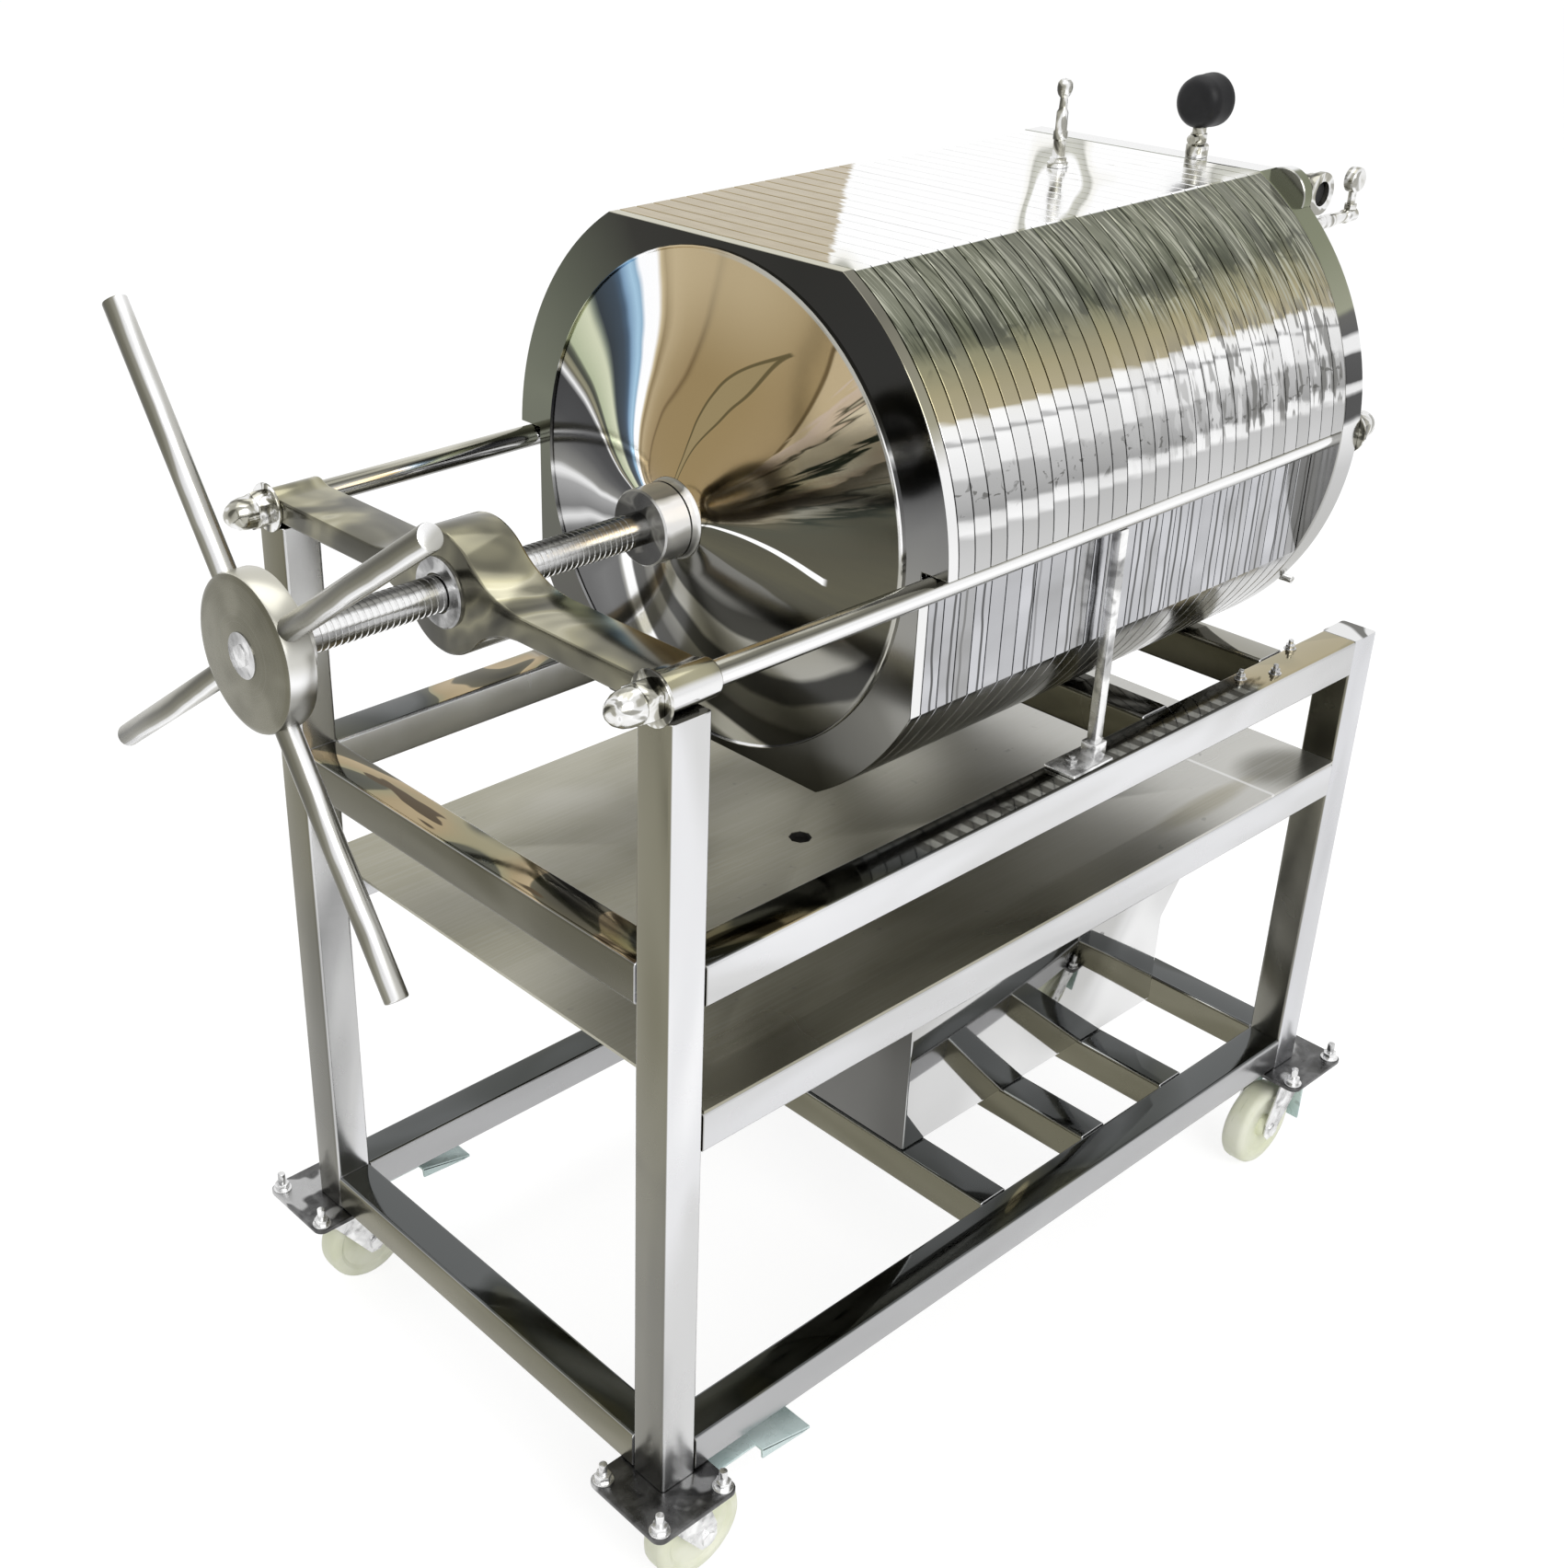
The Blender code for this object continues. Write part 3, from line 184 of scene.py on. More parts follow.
class Finish:
    """A material and the nodes that vary its surface."""

    def __init__(self, name, roughness=0.3, metallic=0.0):
        self.material = bpy.data.materials.new(name)
        self.material.use_nodes = True
        self.tree = self.material.node_tree
        self.shader = self.tree.nodes["Principled BSDF"]
        self.set("Roughness", roughness)
        self.set("Metallic", metallic)

    def node(self, kind, settings, inputs, output=0):
        """Adds a node: its settings first, then the values or wires of its inputs."""
        made = self.tree.nodes.new(kind)
        for key, value in settings.items():
            if key == "stops":
                ramp = made.color_ramp
                while len(ramp.elements) < len(value):
                    ramp.elements.new(0.5)
                for element, (position, *colour) in zip(ramp.elements, value):
                    element.position = position
                    element.color = (*colour_of(colour), 1.0)
            else:
                setattr(made, key, value)
        for key, value in inputs.items():
            if isinstance(value, Wire):
                self.tree.links.new(value.socket, made.inputs[key])
            elif value is not None:
                made.inputs[key].default_value = value
        return Wire(self, made.outputs[output])

    def set(self, socket, value):
        if isinstance(value, Wire):
            self.tree.links.new(value.socket, self.shader.inputs[socket])
        else:
            self.shader.inputs[socket].default_value = value

    def coordinates(self, output="Object"):
        return self.node("ShaderNodeTexCoord", {}, {}, output)

    def split(self, vector):
        """The three parts of a vector."""
        node = self.node("ShaderNodeSeparateXYZ", {}, {"Vector": vector}).socket.node
        return [Wire(self, part) for part in node.outputs]

    def facing(self):
        """The three parts of the direction that the surface faces."""
        return self.split(self.coordinates("Normal"))

    def join(self, x, y, z):
        return self.node("ShaderNodeCombineXYZ", {}, {"X": x, "Y": y, "Z": z})

    def noise(self, vector, scale=1.0, detail=2.0, distortion=0.0):
        inputs = {"Vector": vector, "Scale": scale, "Detail": detail, "Distortion": distortion}
        return self.node("ShaderNodeTexNoise", {"noise_dimensions": "3D"}, inputs)

    def stretched(self, scale, detail=2.0, distortion=0.0):
        """Noise over the object's coordinates, each axis with a scale of its own."""
        inputs = {"Vector": self.coordinates(), "Scale": scale}
        vector = self.node("ShaderNodeMapping", {"vector_type": "POINT"}, inputs)
        return self.noise(vector, 1.0, detail, distortion)

    def drawn(self, x, y, z, detail=2.0, distortion=0.0):
        """Noise over three values."""
        return self.noise(self.join(x, y, z), 1.0, detail, distortion)

    def ramp(self, factor, stops, interpolation="EASE"):
        """A colour ramp. A stop is its place and then what colour_of takes."""
        made = self.node("ShaderNodeValToRGB", {"stops": stops}, {"Fac": factor})
        made.socket.node.color_ramp.interpolation = interpolation
        return made

    def bands(self, value, low, high, stops):
        """A ramp with straight steps, whose places are in the value's own unit."""
        places = [((place - low) / (high - low), *colour) for place, *colour in stops]
        return self.ramp(self.span(value, low, high, kind="LINEAR"), places, "LINEAR")

    def around(self, lean, stops):
        """A ramp with straight steps over a lean from minus one to one."""
        return self.ramp(self.span(lean, -1.0, 1.0, kind="LINEAR"), stops, "LINEAR")

    def span(self, value, low, high, to_low=0.0, to_high=1.0, kind="SMOOTHSTEP"):
        """Takes a value from one range to another and no further."""
        settings = {"interpolation_type": kind, "clamp": True}
        inputs = {
            "Value": value, "From Min": low, "From Max": high, "To Min": to_low, "To Max": to_high}
        return self.node("ShaderNodeMapRange", settings, inputs)

    def mix(self, factor, first, second):
        """Mixes two colours, each a wire or three numbers."""
        inputs = {0: factor, 6: self.full(first), 7: self.full(second)}
        return self.node("ShaderNodeMix", {"data_type": "RGBA", "blend_type": "MIX"}, inputs, 2)

    def full(self, colour):
        return colour if isinstance(colour, Wire) else (*colour, 1.0)

    def bump(self, height, strength, distance):
        inputs = {"Strength": strength, "Distance": distance, "Height": height}
        self.set("Normal", self.node("ShaderNodeBump", {}, inputs))

    def done(self, colour, varied, low, high):
        """Sets the colour, lets the roughness follow a noise, and gives the material."""
        self.set("Base Color", colour)
        self.set("Roughness", self.span(varied, 0.3, 0.7, low, high))
        return self.material


def tone(level, warmth=0.0):
    """A grey, warmer towards olive above zero and cooler towards blue below it."""
    return (level * (1.0 + 0.12 * warmth), level, level * (1.0 - 0.65 * warmth))


def shade(red, green, blue):
    """A colour given as a picture shows it, from 0 to 255."""
    return tuple((value / 255.0) ** 2.2 for value in (red, green, blue))


def colour_of(values):
    """A colour from a grey's level and warmth, or from a picture's red, green and blue."""
    return shade(*values) if len(values) == 3 else tone(*values)


def bearing(out, up):
    """The angle in degrees, nought along the second offset and growing towards the first."""
    return out.maths("ARCTAN2", out, up) * (180.0 / math.pi)


def distance(out, up):
    square = out * out + up * up
    return square.maths("SQRT", square)


def absolute(value):
    return value.maths("ABSOLUTE", value)


def lot(made, number):
    """A chance value for each whole number."""
    return made.node("ShaderNodeTexWhiteNoise", {"noise_dimensions": "1D"}, {"W": number})


def tan_front(made, place, stray=0.0):
    """One in front of the line where the tan reflection on the flat top ends."""
    edge = place[0] - (place[1] - MIDDLE_Y) * TAN_LEAN + stray
    return made.span(edge, CORNER.x + TAN_END, CORNER.x + TAN_END - 0.008)


def tube_steel(name, axis, comb=None, tan=0.0, dim=0.46, plain_top=None):
    """Polished square tube with painted reflections: bright on its long sides, grey at its ends and
    deep on top, painted as what it mirrors above it, with painted shade underneath. The comb is the
    plates' painted reflection in the top of an upper rail."""
    made = Finish(name, metallic=1.0)
    spot = made.coordinates()
    px, py, pz = made.split(spot)
    x, _, z = made.facing()
    stretch = [11.0, 11.0, 11.0]
    stretch[axis] = 2.6
    soft = made.stretched(stretch, distortion=0.4)
    stretch = [10.0, 10.0, 10.0]
    stretch[axis] = 4.5
    patch = made.stretched(stretch, detail=1.0, distortion=0.7)
    smear = made.stretched((9.0, 9.0, 9.0), detail=3.0, distortion=2.0)
    # Painted reflection on the long sides
    side = made.ramp(soft, [(0.28, 0.46), (0.42, 0.6), (0.58, 0.72, -0.03), (0.75, 0.84, -0.02)])
    if axis == 0:
        # Painted reflection on the sides of rails: darker for the lower rails
        low = made.span(pz, CORNER.z + 0.3, CORNER.z + 0.05)
        side = made.mix(low * 0.75, side, tone(0.3))
        middle = made.span(pz, CORNER.z + 0.5, CORNER.z + 0.42)
        side = made.mix(middle * 0.25, side, tone(0.5, -0.05))
    # Painted shade on the ends, as dark as dim says, with a few grey patches
    end = made.ramp(soft, [
        (0.28, 0.2 * dim, 0.5), (0.45, 0.32 * dim, 0.45), (0.6, 0.42 * dim, 0.4),
        (0.76, 0.3 * dim, 0.5)])
    end = made.mix(made.span(patch, 0.6, 0.66) * 0.4, end, tone(0.24 * dim, 0.3))
    if axis == 2:
        # Posts: painted reflection paler towards the rear on the sides, and paler low on the ends
        side = made.mix(
            made.span(px, CORNER.x + 0.4, CORNER.x + 0.9) * 0.6, side, tone(0.56, -0.07))
        end = made.mix(made.span(pz, CORNER.z + 0.55, CORNER.z + 0.15) * 0.5, end, tone(0.24, 0.03))
    # Painted reflection on the top faces: dark and tan patches of what stands above
    top_reflection = made.ramp(
        patch + tan, [(0.36, 96, 98, 98), (0.46, 74, 76, 74), (0.555, 88, 88, 76),
        (0.565, 150, 144, 116), (0.62, 164, 147, 115), (0.7, 178, 160, 128), (0.71, 96, 92, 76),
        (0.8, 66, 64, 56)], "LINEAR")
    if dim < 0.4:
        # Painted reflection: dark dashes in the top of the end rail
        reflected_dash = made.stretched((75.0, 9.0, 1.0))
        top_reflection = made.mix(made.span(reflected_dash, 0.58, 0.62), top_reflection, shade(84, 72, 54))
    if comb:
        # Painted reflection of the plates in an upper rail's top: tan to the rear, dark along the
        # stack, with a comb of teeth
        start, pitch, low_x, high_x = comb
        away = absolute(py - MIDDLE_Y) - (MIDDLE_Y - CORNER.y - 0.02)
        top_reflection = made.mix(
            made.span(px, high_x - 0.02, high_x + 0.02) * 0.85, top_reflection, shade(166, 157, 128))
        count = (px - start) / pitch + soft * 0.7
        tooth = count.maths("FRACT", count)
        reach = made.span(px, low_x, low_x + 0.03) * made.span(px, high_x, high_x - 0.03)
        top_reflection = made.mix(reach * 0.95, top_reflection, shade(76, 76, 71))
        outward = made.span(away, 0.000, 0.002) * made.span(away, 0.0165, 0.015) * reach
        teeth = made.span(tooth, 0.38, 0.46) * made.span(tooth, 0.94, 0.86)
        top_reflection = made.mix(outward, top_reflection, made.mix(teeth, shade(112, 111, 105), shade(182, 182, 176)))
    if plain_top:
        # A plain painted reflection on top, with a few dark patches
        top_reflection = made.mix(
            made.span(patch, 0.53, 0.55) * made.span(patch, 0.64, 0.6), plain_top,
            tone(0.12, 0.15))
    top = made.span(z, 0.6, 0.85)
    colour = made.mix(made.span(absolute(x), 0.6, 0.85), side, end)
    colour = made.mix(top, colour, top_reflection)
    # Painted shade on the underside
    colour = made.mix(made.span(z * -1.0, 0.6, 0.85), colour, tone(0.14, 0.1))
    made.set("Base Color", colour)
    made.set("Roughness", made.span(smear, 0.3, 0.7, 0.2, 0.28) - top * 0.16)
    made.bump(smear, 0.02, 0.0005)
    return made.material


def rim_steel(name, pitch, start):
    """Mirror steel of the plate rims, with painted reflections in bands along the stack: a bright
    band over the tie bars, a tan one above it and dark streaks up to the flat top. Each plate
    differs a little."""
    made = Finish(name, metallic=1.0)
    x, y, z = made.split(made.coordinates())
    nz = made.facing()[2]
    across, rise = y - MIDDLE_Y, z - AXIS_Z
    side = across.maths("SIGN", across)
    angle = bearing(rise, absolute(across))
    count = (x - start) / pitch
    number = count.maths("FLOOR", count)
    within = count - number - 0.5
    chance = lot(made, number + side * 40.0)
    second = lot(made, number * 3.7 + side * 11.0 + 5.0)
    sway = made.drawn(number * 3.1, angle * 0.3, side * 5.0)
    turn = angle + (chance - 0.5) * 0.8 + within * 0.7 + (sway - 0.5) * 2.6
    rearward = made.span(x, CORNER.x + 0.5, CORNER.x + 0.74)
    # Painted reflections, banded by the angle round the stack
    colour = made.bands(turn, -20.0, 66.0, [
        (-14.0, 0.5), (0.0, 0.58), (8.3, 0.53), (9.3, 0.92), (11.2, 0.86), (12.0, 0.36),
        (15.0, 0.46), (18.2, 0.54), (19.0, 0.86), (23.9, 0.96), (24.5, 0.34), (25.1, 0.96),
        (27.6, 0.96, 0.03), (28.3, 178, 168, 138), (33.0, 164, 156, 124), (38.0, 140, 138, 112),
        (41.0, 104, 106, 88), (45.0, 120, 123, 106), (52.0, 128, 130, 114), (60.0, 108, 110, 94)])

    # Painted reflection: light and dark streaks in the upper bands
    streak = made.drawn(
        x * 290.0 + angle * 0.22, angle * 0.055, side * 3.0, detail=3.0, distortion=0.5)
    reach = turn + rearward * 12.0
    upper = made.span(reach, 37.0, 44.0) * (1.0 - made.span(absolute(nz), 0.95, 0.99))
    colour = made.mix(made.span(streak, 0.54, 0.61) * upper * 0.7, colour, shade(186, 187, 170))
    colour = made.mix(made.span(streak, 0.46, 0.39) * upper * 0.8, colour, shade(66, 69, 56))
    # Painted reflection: dark blots in the tan belt
    reflected_blot = made.drawn(x * 34.0, angle * 0.13, side * 7.0, detail=3.0, distortion=1.0)
    belt = made.span(turn, 35.0, 40.0) * made.span(turn, 48.0, 42.0)
    colour = made.mix(made.span(reflected_blot, 0.5, 0.6) * belt * 0.7, colour, shade(70, 73, 62))

    # Painted reflection: dark and white columns in the bright belt towards the rear
    column = made.drawn(x * 95.0, angle * 0.11, side * 2.0, distortion=0.3)
    white_belt = made.span(turn, 8.0, 10.0) * made.span(turn, 33.0, 27.0) * rearward
    colour = made.mix(made.span(column, 0.52, 0.58) * white_belt * 0.8, colour, tone(0.14, 0.1))
    colour = made.mix(made.span(column, 0.42, 0.38) * white_belt * 0.6, colour, tone(0.95))
    # Painted reflection: dark spots in the grey belt
    spot = made.drawn(x * 75.0, angle * 0.5, side * 9.0, distortion=0.8)
    low_belt = made.span(turn, 10.5, 12.5) * made.span(turn, 20.0, 15.0)
    colour = made.mix(made.span(spot, 0.6, 0.66) * low_belt * 0.8, colour, tone(0.1, 0.1))

    # The straight lower sides: a pale painted reflection, with a dark painted reflection of a seam
    # on each plate; some plates darker at random
    straight = made.span(rise, -0.011, -0.013)
    ripple = made.drawn(number * 5.3, rise * 12.0, side)
    flank = made.ramp(
        ripple,
        [(0.3, 0.38, -0.04), (0.45, 0.48, -0.07), (0.62, 0.57, -0.07), (0.75, 0.44, -0.04)])
    seam_reflection = absolute(within - (second - 0.5) * 0.7 - (ripple - 0.5) * 0.6)
    flank = made.mix(
        made.span(seam_reflection, 0.105, 0.045) * made.span(second, 0.1, 0.25), flank, tone(0.1, -0.03))
    flank = made.mix(made.span(chance, 0.82, 0.9) * 0.45, flank, tone(0.34))
    colour = made.mix(straight, colour, flank)
    # Painted shade on the underside, darker further down, with dark olive streaks
    under = made.span(nz, -0.4, -0.5)
    belly = made.ramp(
        made.span(nz, -1.0, -0.4, kind="LINEAR"),
        [(0.0, 0.3, 0.08), (0.35, 0.36, 0.06), (0.7, 0.44, 0.03), (1.0, 0.5)], "LINEAR")
    belly = made.mix(made.span(streak, 0.54, 0.64) * 0.3, belly, tone(0.2, 0.2))
    colour = made.mix(under, colour, belly)

    # The flat top: painted reflection, white and grey bands with a tan front
    flat = made.span(rise, RIM_FLAT - 0.0014, RIM_FLAT - 0.0008)
    drift = made.drawn(x * 5.0 - across * 6.0, across * 2.0, 0.0, distortion=0.4)
    weave = made.drawn(x * 120.0, across * 22.0, 0.0)
    tan = made.mix(made.span(weave, 0.45, 0.62) * 0.4, shade(164, 147, 110), shade(182, 167, 132))
    front = tan_front(made, (x, y), (weave - 0.5) * 0.03)
    band = made.ramp(drift, [
        (0.4, 1.0), (0.56, 1.0), (0.6, 0.88, 0.1), (0.62, 150, 150, 134), (0.66, 176, 176, 160),
        (0.68, 1.0)], "LINEAR")
    colour = made.mix(((chance - 0.5) * 0.25 + 0.1) * (1.0 - flat), colour, tone(0.2, 0.1))
    colour = made.mix(flat, colour, made.mix(front, band, tan))
    made.bump(sway, 0.08, 0.0006)
    return made.done(colour, sway, 0.1, 0.2)


def cone_steel(name):
    """Mirror steel of the cone with painted reflections. What it mirrors is painted as a fan that
    leans a little, with a swirl under the boss."""
    made = Finish(name, metallic=1.0)
    _, y, z = made.split(made.coordinates())
    right, rise = (y - MIDDLE_Y) * -1.0, z - AXIS_Z
    angle, reach = bearing(right, rise), distance(right, rise)
    wander = made.noise(made.join(right, rise, 0.0), scale=9.0, distortion=0.5)
    ragged = made.drawn(angle * 0.5, reach * 14.0, 0.0, detail=3.0, distortion=0.6)
    lean = made.span(angle, 30.0, -24.0, 0.0, 3000.0) * made.span(angle, -100.0, -48.0, 0.12, 1.0)
    inner = made.span(reach, 0.175, 0.045, 0.0, 0.13, kind="LINEAR")
    turn = angle + lean * inner * inner + (wander - 0.5) * 7.0
    # Painted reflections, in bands by the angle round the axis
    dark_fan = made.bands(turn, -130.0, 118.0, [
        (-124.0, 0.07), (-112.0, 0.1), (-109.0, 0.7), (-106.0, 0.12), (-99.0, 0.3), (-96.5, 0.8),
        (-94.0, 0.18, 0.1), (-86.0, 0.05), (-79.0, 0.016, -0.2), (-69.5, 0.014, -0.2),
        (-68.0, 0.85), (-66.4, 70, 66, 50), (-64.6, 150, 146, 120), (-63.4, 52, 54, 44)])
    fan = made.bands(turn, -130.0, 118.0, [
        (-63.4, 52, 54, 44), (-61.4, 66, 70, 56), (-60.4, 168, 176, 146), (-50.0, 204, 208, 180),
        (-47.5, 116, 124, 112), (-46.0, 44, 52, 58), (-38.5, 60, 72, 84), (-35.6, 72, 92, 112),
        (-33.8, 124, 154, 182), (-30.0, 164, 198, 222), (-28.0, 140, 172, 196),
        (-26.6, 0.98, -0.03), (-20.6, 1.0, -0.02), (-18.6, 196, 180, 146), (-16.6, 136, 118, 86),
        (-13.0, 176, 158, 124), (-7.0, 162, 143, 108), (0.0, 152, 132, 98), (1.6, 112, 94, 66),
        (4.0, 148, 128, 92), (30.0, 150, 130, 94), (55.0, 156, 136, 102)])
    fan = made.mix(made.span(turn, -63.5, -63.3), dark_fan, fan)
    # Painted sheen in the tan towards the rim
    sheen = made.span(turn, -21.0, -15.0) * made.span(
        angle, 46.0, 10.0) * made.span(reach, 0.12, 0.215)
    fan = made.mix(sheen * 0.55, fan, shade(200, 184, 150))

    # The right of the fan, painted reflection: a paler tan beyond a curved line, then ragged dark
    # streaks
    bend = angle + made.span(reach, 0.092, 0.217, 0.0, 19.0, kind="LINEAR") + (wander - 0.5) * 5.0
    fan = made.mix(made.span(bend, 56.6, 57.4), fan, shade(186, 168, 134))
    fan = made.mix(
        made.span(bend, 56.0, 57.0) * made.span(bend, 58.4, 57.4), fan, shade(104, 88, 62))
    tatter = angle + (ragged - 0.5) * 11.0 + made.span(reach, 0.05, 0.22, -2.0, 7.0, kind="LINEAR")
    streaks = made.bands(tatter, 40.0, 122.0, [
        (53.5, 186, 168, 134), (54.5, 192, 174, 156), (57.5, 188, 170, 146), (58.6, 70, 66, 52),
        (60.0, 196, 184, 158), (64.5, 206, 194, 170), (65.6, 48, 54, 46), (67.0, 64, 68, 56),
        (68.0, 206, 198, 174), (71.0, 190, 174, 152), (72.0, 108, 102, 88), (75.0, 128, 122, 108),
        (76.0, 70, 72, 64), (77.5, 140, 138, 126), (79.0, 112, 110, 98), (80.0, 60, 64, 58),
        (83.0, 84, 84, 74), (92.0, 0.085, 0.4), (104.0, 0.1, 0.45), (112.0, 0.085, 0.35),
        (120.0, 0.08, 0.3)])
    streaks = made.mix(
        made.span(reach, 0.14, 0.06) * made.span(angle, 84.0, 74.0) * 0.85, streaks,
        shade(168, 152, 122))
    fan = made.mix(made.span(tatter, 53.0, 53.6), fan, streaks)
    # A bright spear: painted highlight
    wedge = angle - made.span(reach, 0.045, 0.153, 0.0, 14.0, kind="LINEAR") + (wander - 0.5) * 2.0
    spear = made.span(wedge, 82.8, 83.2) * made.span(
        wedge, 85.6, 85.2) * made.span(reach, 0.158, 0.152)
    fan = made.mix(spear, fan, tone(0.95))

    # A leaf-shaped painted reflection in the tan
    middle = made.span(reach, 0.05, 0.185, 45.0, 39.5, kind="LINEAR")
    width = made.span(reach, 0.05, 0.1, 2.5, 6.0) * made.span(reach, 0.186, 0.12)
    off = absolute(angle + (0.224 - reach) * 215.0 + (wander - 0.5) * 5.0 - middle) - width
    leaf = made.span(off, 0.3, -0.3) * made.span(reach, 0.188, 0.184)
    fan = made.mix(leaf, fan, shade(148, 132, 98))
    edge = made.span(absolute(off), 0.9, 0.4) * made.span(reach, 0.188, 0.184)
    fan = made.mix(edge * 0.85, fan, shade(84, 76, 52))

    # Under the boss the painted reflection bands curl round it
    down = angle.maths("WRAP", angle, 360.0, 0.0)
    curl = down + (reach - 0.06) * 560.0 + (wander - 0.5) * 16.0
    swirl = made.bands(curl, 100.0, 330.0, [
        (118.0, 0.17, 0.12), (150.0, 0.18, 0.12), (160.0, 0.045, 0.2), (176.0, 0.05, 0.2),
        (179.0, 0.3, 0.2), (196.0, 0.34, 0.15), (200.0, 0.05, 0.1), (213.0, 0.055, 0.1),
        (216.0, 0.2, 0.15), (228.0, 0.13, 0.15), (232.0, 0.05, 0.2), (247.0, 0.045, 0.1),
        (250.0, 0.92), (261.0, 0.9), (264.0, 0.3, 0.1), (268.0, 0.08), (290.0, 0.1), (312.0, 0.07)])
    below = made.span(
        angle + (wander - 0.5) * 10.0, 112.0, 114.0) + made.span(angle, -124.0, -127.0)
    colour = made.mix(below, fan, swirl)
    # Painted highlight along the rim's edge on the right: olive, with a short bright stretch
    rim = made.span(reach, 0.2185, 0.22)
    colour = made.mix(rim * made.span(absolute(angle - 62.0), 70.0, 45.0), colour, tone(0.42, 0.15))
    colour = made.mix(rim * made.span(absolute(angle - 72.0), 16.0, 10.0), colour, tone(0.92))
    return made.done(colour, wander, 0.1, 0.16)


def ring_steel(name):
    """The pressing head's flat ring: deep mirror steel with painted reflections that change slowly
    round it.
    """
    made = Finish(name, metallic=1.0)
    _, y, z = made.split(made.coordinates())
    nx, _, nz = made.facing()
    angle = bearing((y - MIDDLE_Y) * -1.0, z - AXIS_Z)
    wander = made.noise(made.join(y, z, 0.0), scale=7.0, distortion=0.4)
    turn = angle + (wander - 0.5) * 14.0
    # Painted reflections on the face, by the angle round the axis
    face = made.bands(turn, -180.0, 180.0, [
        (-180.0, 0.05, 0.2), (-125.0, 0.1, 0.15), (-80.0, 108, 111, 98), (-55.0, 88, 91, 80),
        (-25.0, 0.035, 0.2), (20.0, 0.026, 0.15), (50.0, 0.03, 0.1), (60.0, 0.045, 0.1),
        (62.0, 0.75), (64.0, 0.07), (68.0, 0.065, -0.05), (80.0, 0.18, 0.03), (98.0, 0.26, 0.1),
        (112.0, 0.32, 0.1), (122.0, 0.16, 0.15), (138.0, 0.1, 0.15), (146.0, 0.045, 0.25),
        (180.0, 0.05, 0.2)])
    # Painted reflections on the rim, by the way it faces
    rim = made.around(nz, [
        (0.0, 0.1, 0.1), (0.35, 0.3, 0.1), (0.5, 0.78), (0.68, 0.9), (0.74, 0.34, 0.4),
        (0.88, 0.16, 0.3), (0.94, 0.2, 0.3), (1.0, 0.48, 0.4)])
    return made.done(made.mix(made.span(absolute(nx), 0.4, 0.7), rim, face), wander, 0.09, 0.15)


def rear_steel(name):
    """The rear head, with painted reflections: olive above, with dark panes and bright bars near
    the tie bars.
    """
    made = Finish(name, metallic=1.0)
    spot = made.coordinates()
    _, y, z = made.split(spot)
    nx, _, nz = made.facing()
    across, rise = y - MIDDLE_Y, z - AXIS_Z
    angle = bearing(rise, absolute(across))
    cloud = made.noise(spot, scale=7.0, detail=3.0, distortion=1.0)
    turn = angle + (cloud - 0.5) * 3.0
    # Painted reflections on the rim, banded by the angle
    rim = made.bands(turn, -62.0, 62.0, [
        (-60.0, 0.14, 0.1), (-30.0, 0.3, 0.1), (-6.0, 0.5), (3.0, 0.78), (4.0, 0.05), (9.0, 0.06),
        (9.6, 0.8), (11.0, 0.8), (11.6, 0.06), (17.0, 0.08), (17.6, 0.85), (20.5, 0.85),
        (21.2, 0.1), (25.0, 0.12, 0.1), (26.0, 150, 152, 132), (40.0, 126, 130, 108),
        (60.0, 112, 116, 94)])
    # Painted reflection: a bright flat top
    rim = made.mix(made.span(nz, 0.9, 0.98), rim, tone(0.85))
    # Painted reflections on the faces: slow grey clouds
    drift = made.stretched((1.0, 3.0, 2.2), detail=1.0, distortion=0.3)
    face = made.ramp(
        drift, [(0.3, 0.24, 0.12), (0.45, 0.34, 0.08), (0.58, 0.48, 0.04), (0.75, 0.6)])
    return made.done(made.mix(made.span(absolute(nx), 0.5, 0.8), rim, face), cloud, 0.1, 0.18)


def polished_steel(name, scale, dark=0.0):
    """Polished steel with crisp painted reflections, light and dark, of what stands round it."""
    made = Finish(name, metallic=1.0)
    spot = made.coordinates()
    y = made.facing()[1]
    patches = made.noise(spot, scale=scale, distortion=1.2)
    # Painted reflections, shifted by the way the surface faces
    lean = patches - y * 0.1 - dark
    colour = made.ramp(lean, [
        (0.3, 0.055, 0.2), (0.42, 0.1, 0.3), (0.46, 0.3, 0.25), (0.54, 0.42, 0.2),
        (0.57, 0.72, 0.05), (0.66, 0.86), (0.72, 0.34, 0.15)], "LINEAR")
    return made.done(colour, patches, 0.112, 0.196)


def boss_steel(name):
    """The head's boss, with painted reflections: dark in front, bright on its near side and olive
    above.
    """
    made = Finish(name, metallic=0.05)
    spot = made.coordinates()
    x, y, z = made.facing()
    cloud = made.noise(spot, scale=24.0, distortion=0.8)
    # Painted reflections by the way the surface faces
    lean = z * 0.65 + y * 0.75 + (cloud - 0.5) * 0.3
    side = made.around(lean, [
        (0.0, 0.1, 0.1), (0.14, 0.4, 0.1), (0.2, 0.95), (0.5, 0.98), (0.56, 0.6, 0.1),
        (0.6, 0.12, 0.2), (0.75, 0.2, 0.3), (1.0, 0.3, 0.3)])
    face = made.ramp(
        cloud, [(0.35, 0.02, 0.2), (0.52, 0.045, 0.2), (0.6, 0.22, 0.15), (0.7, 0.06, 0.2)],
        "LINEAR")
    return made.done(made.mix(made.span(absolute(x), 0.6, 0.85), side, face), cloud, 0.1, 0.18)


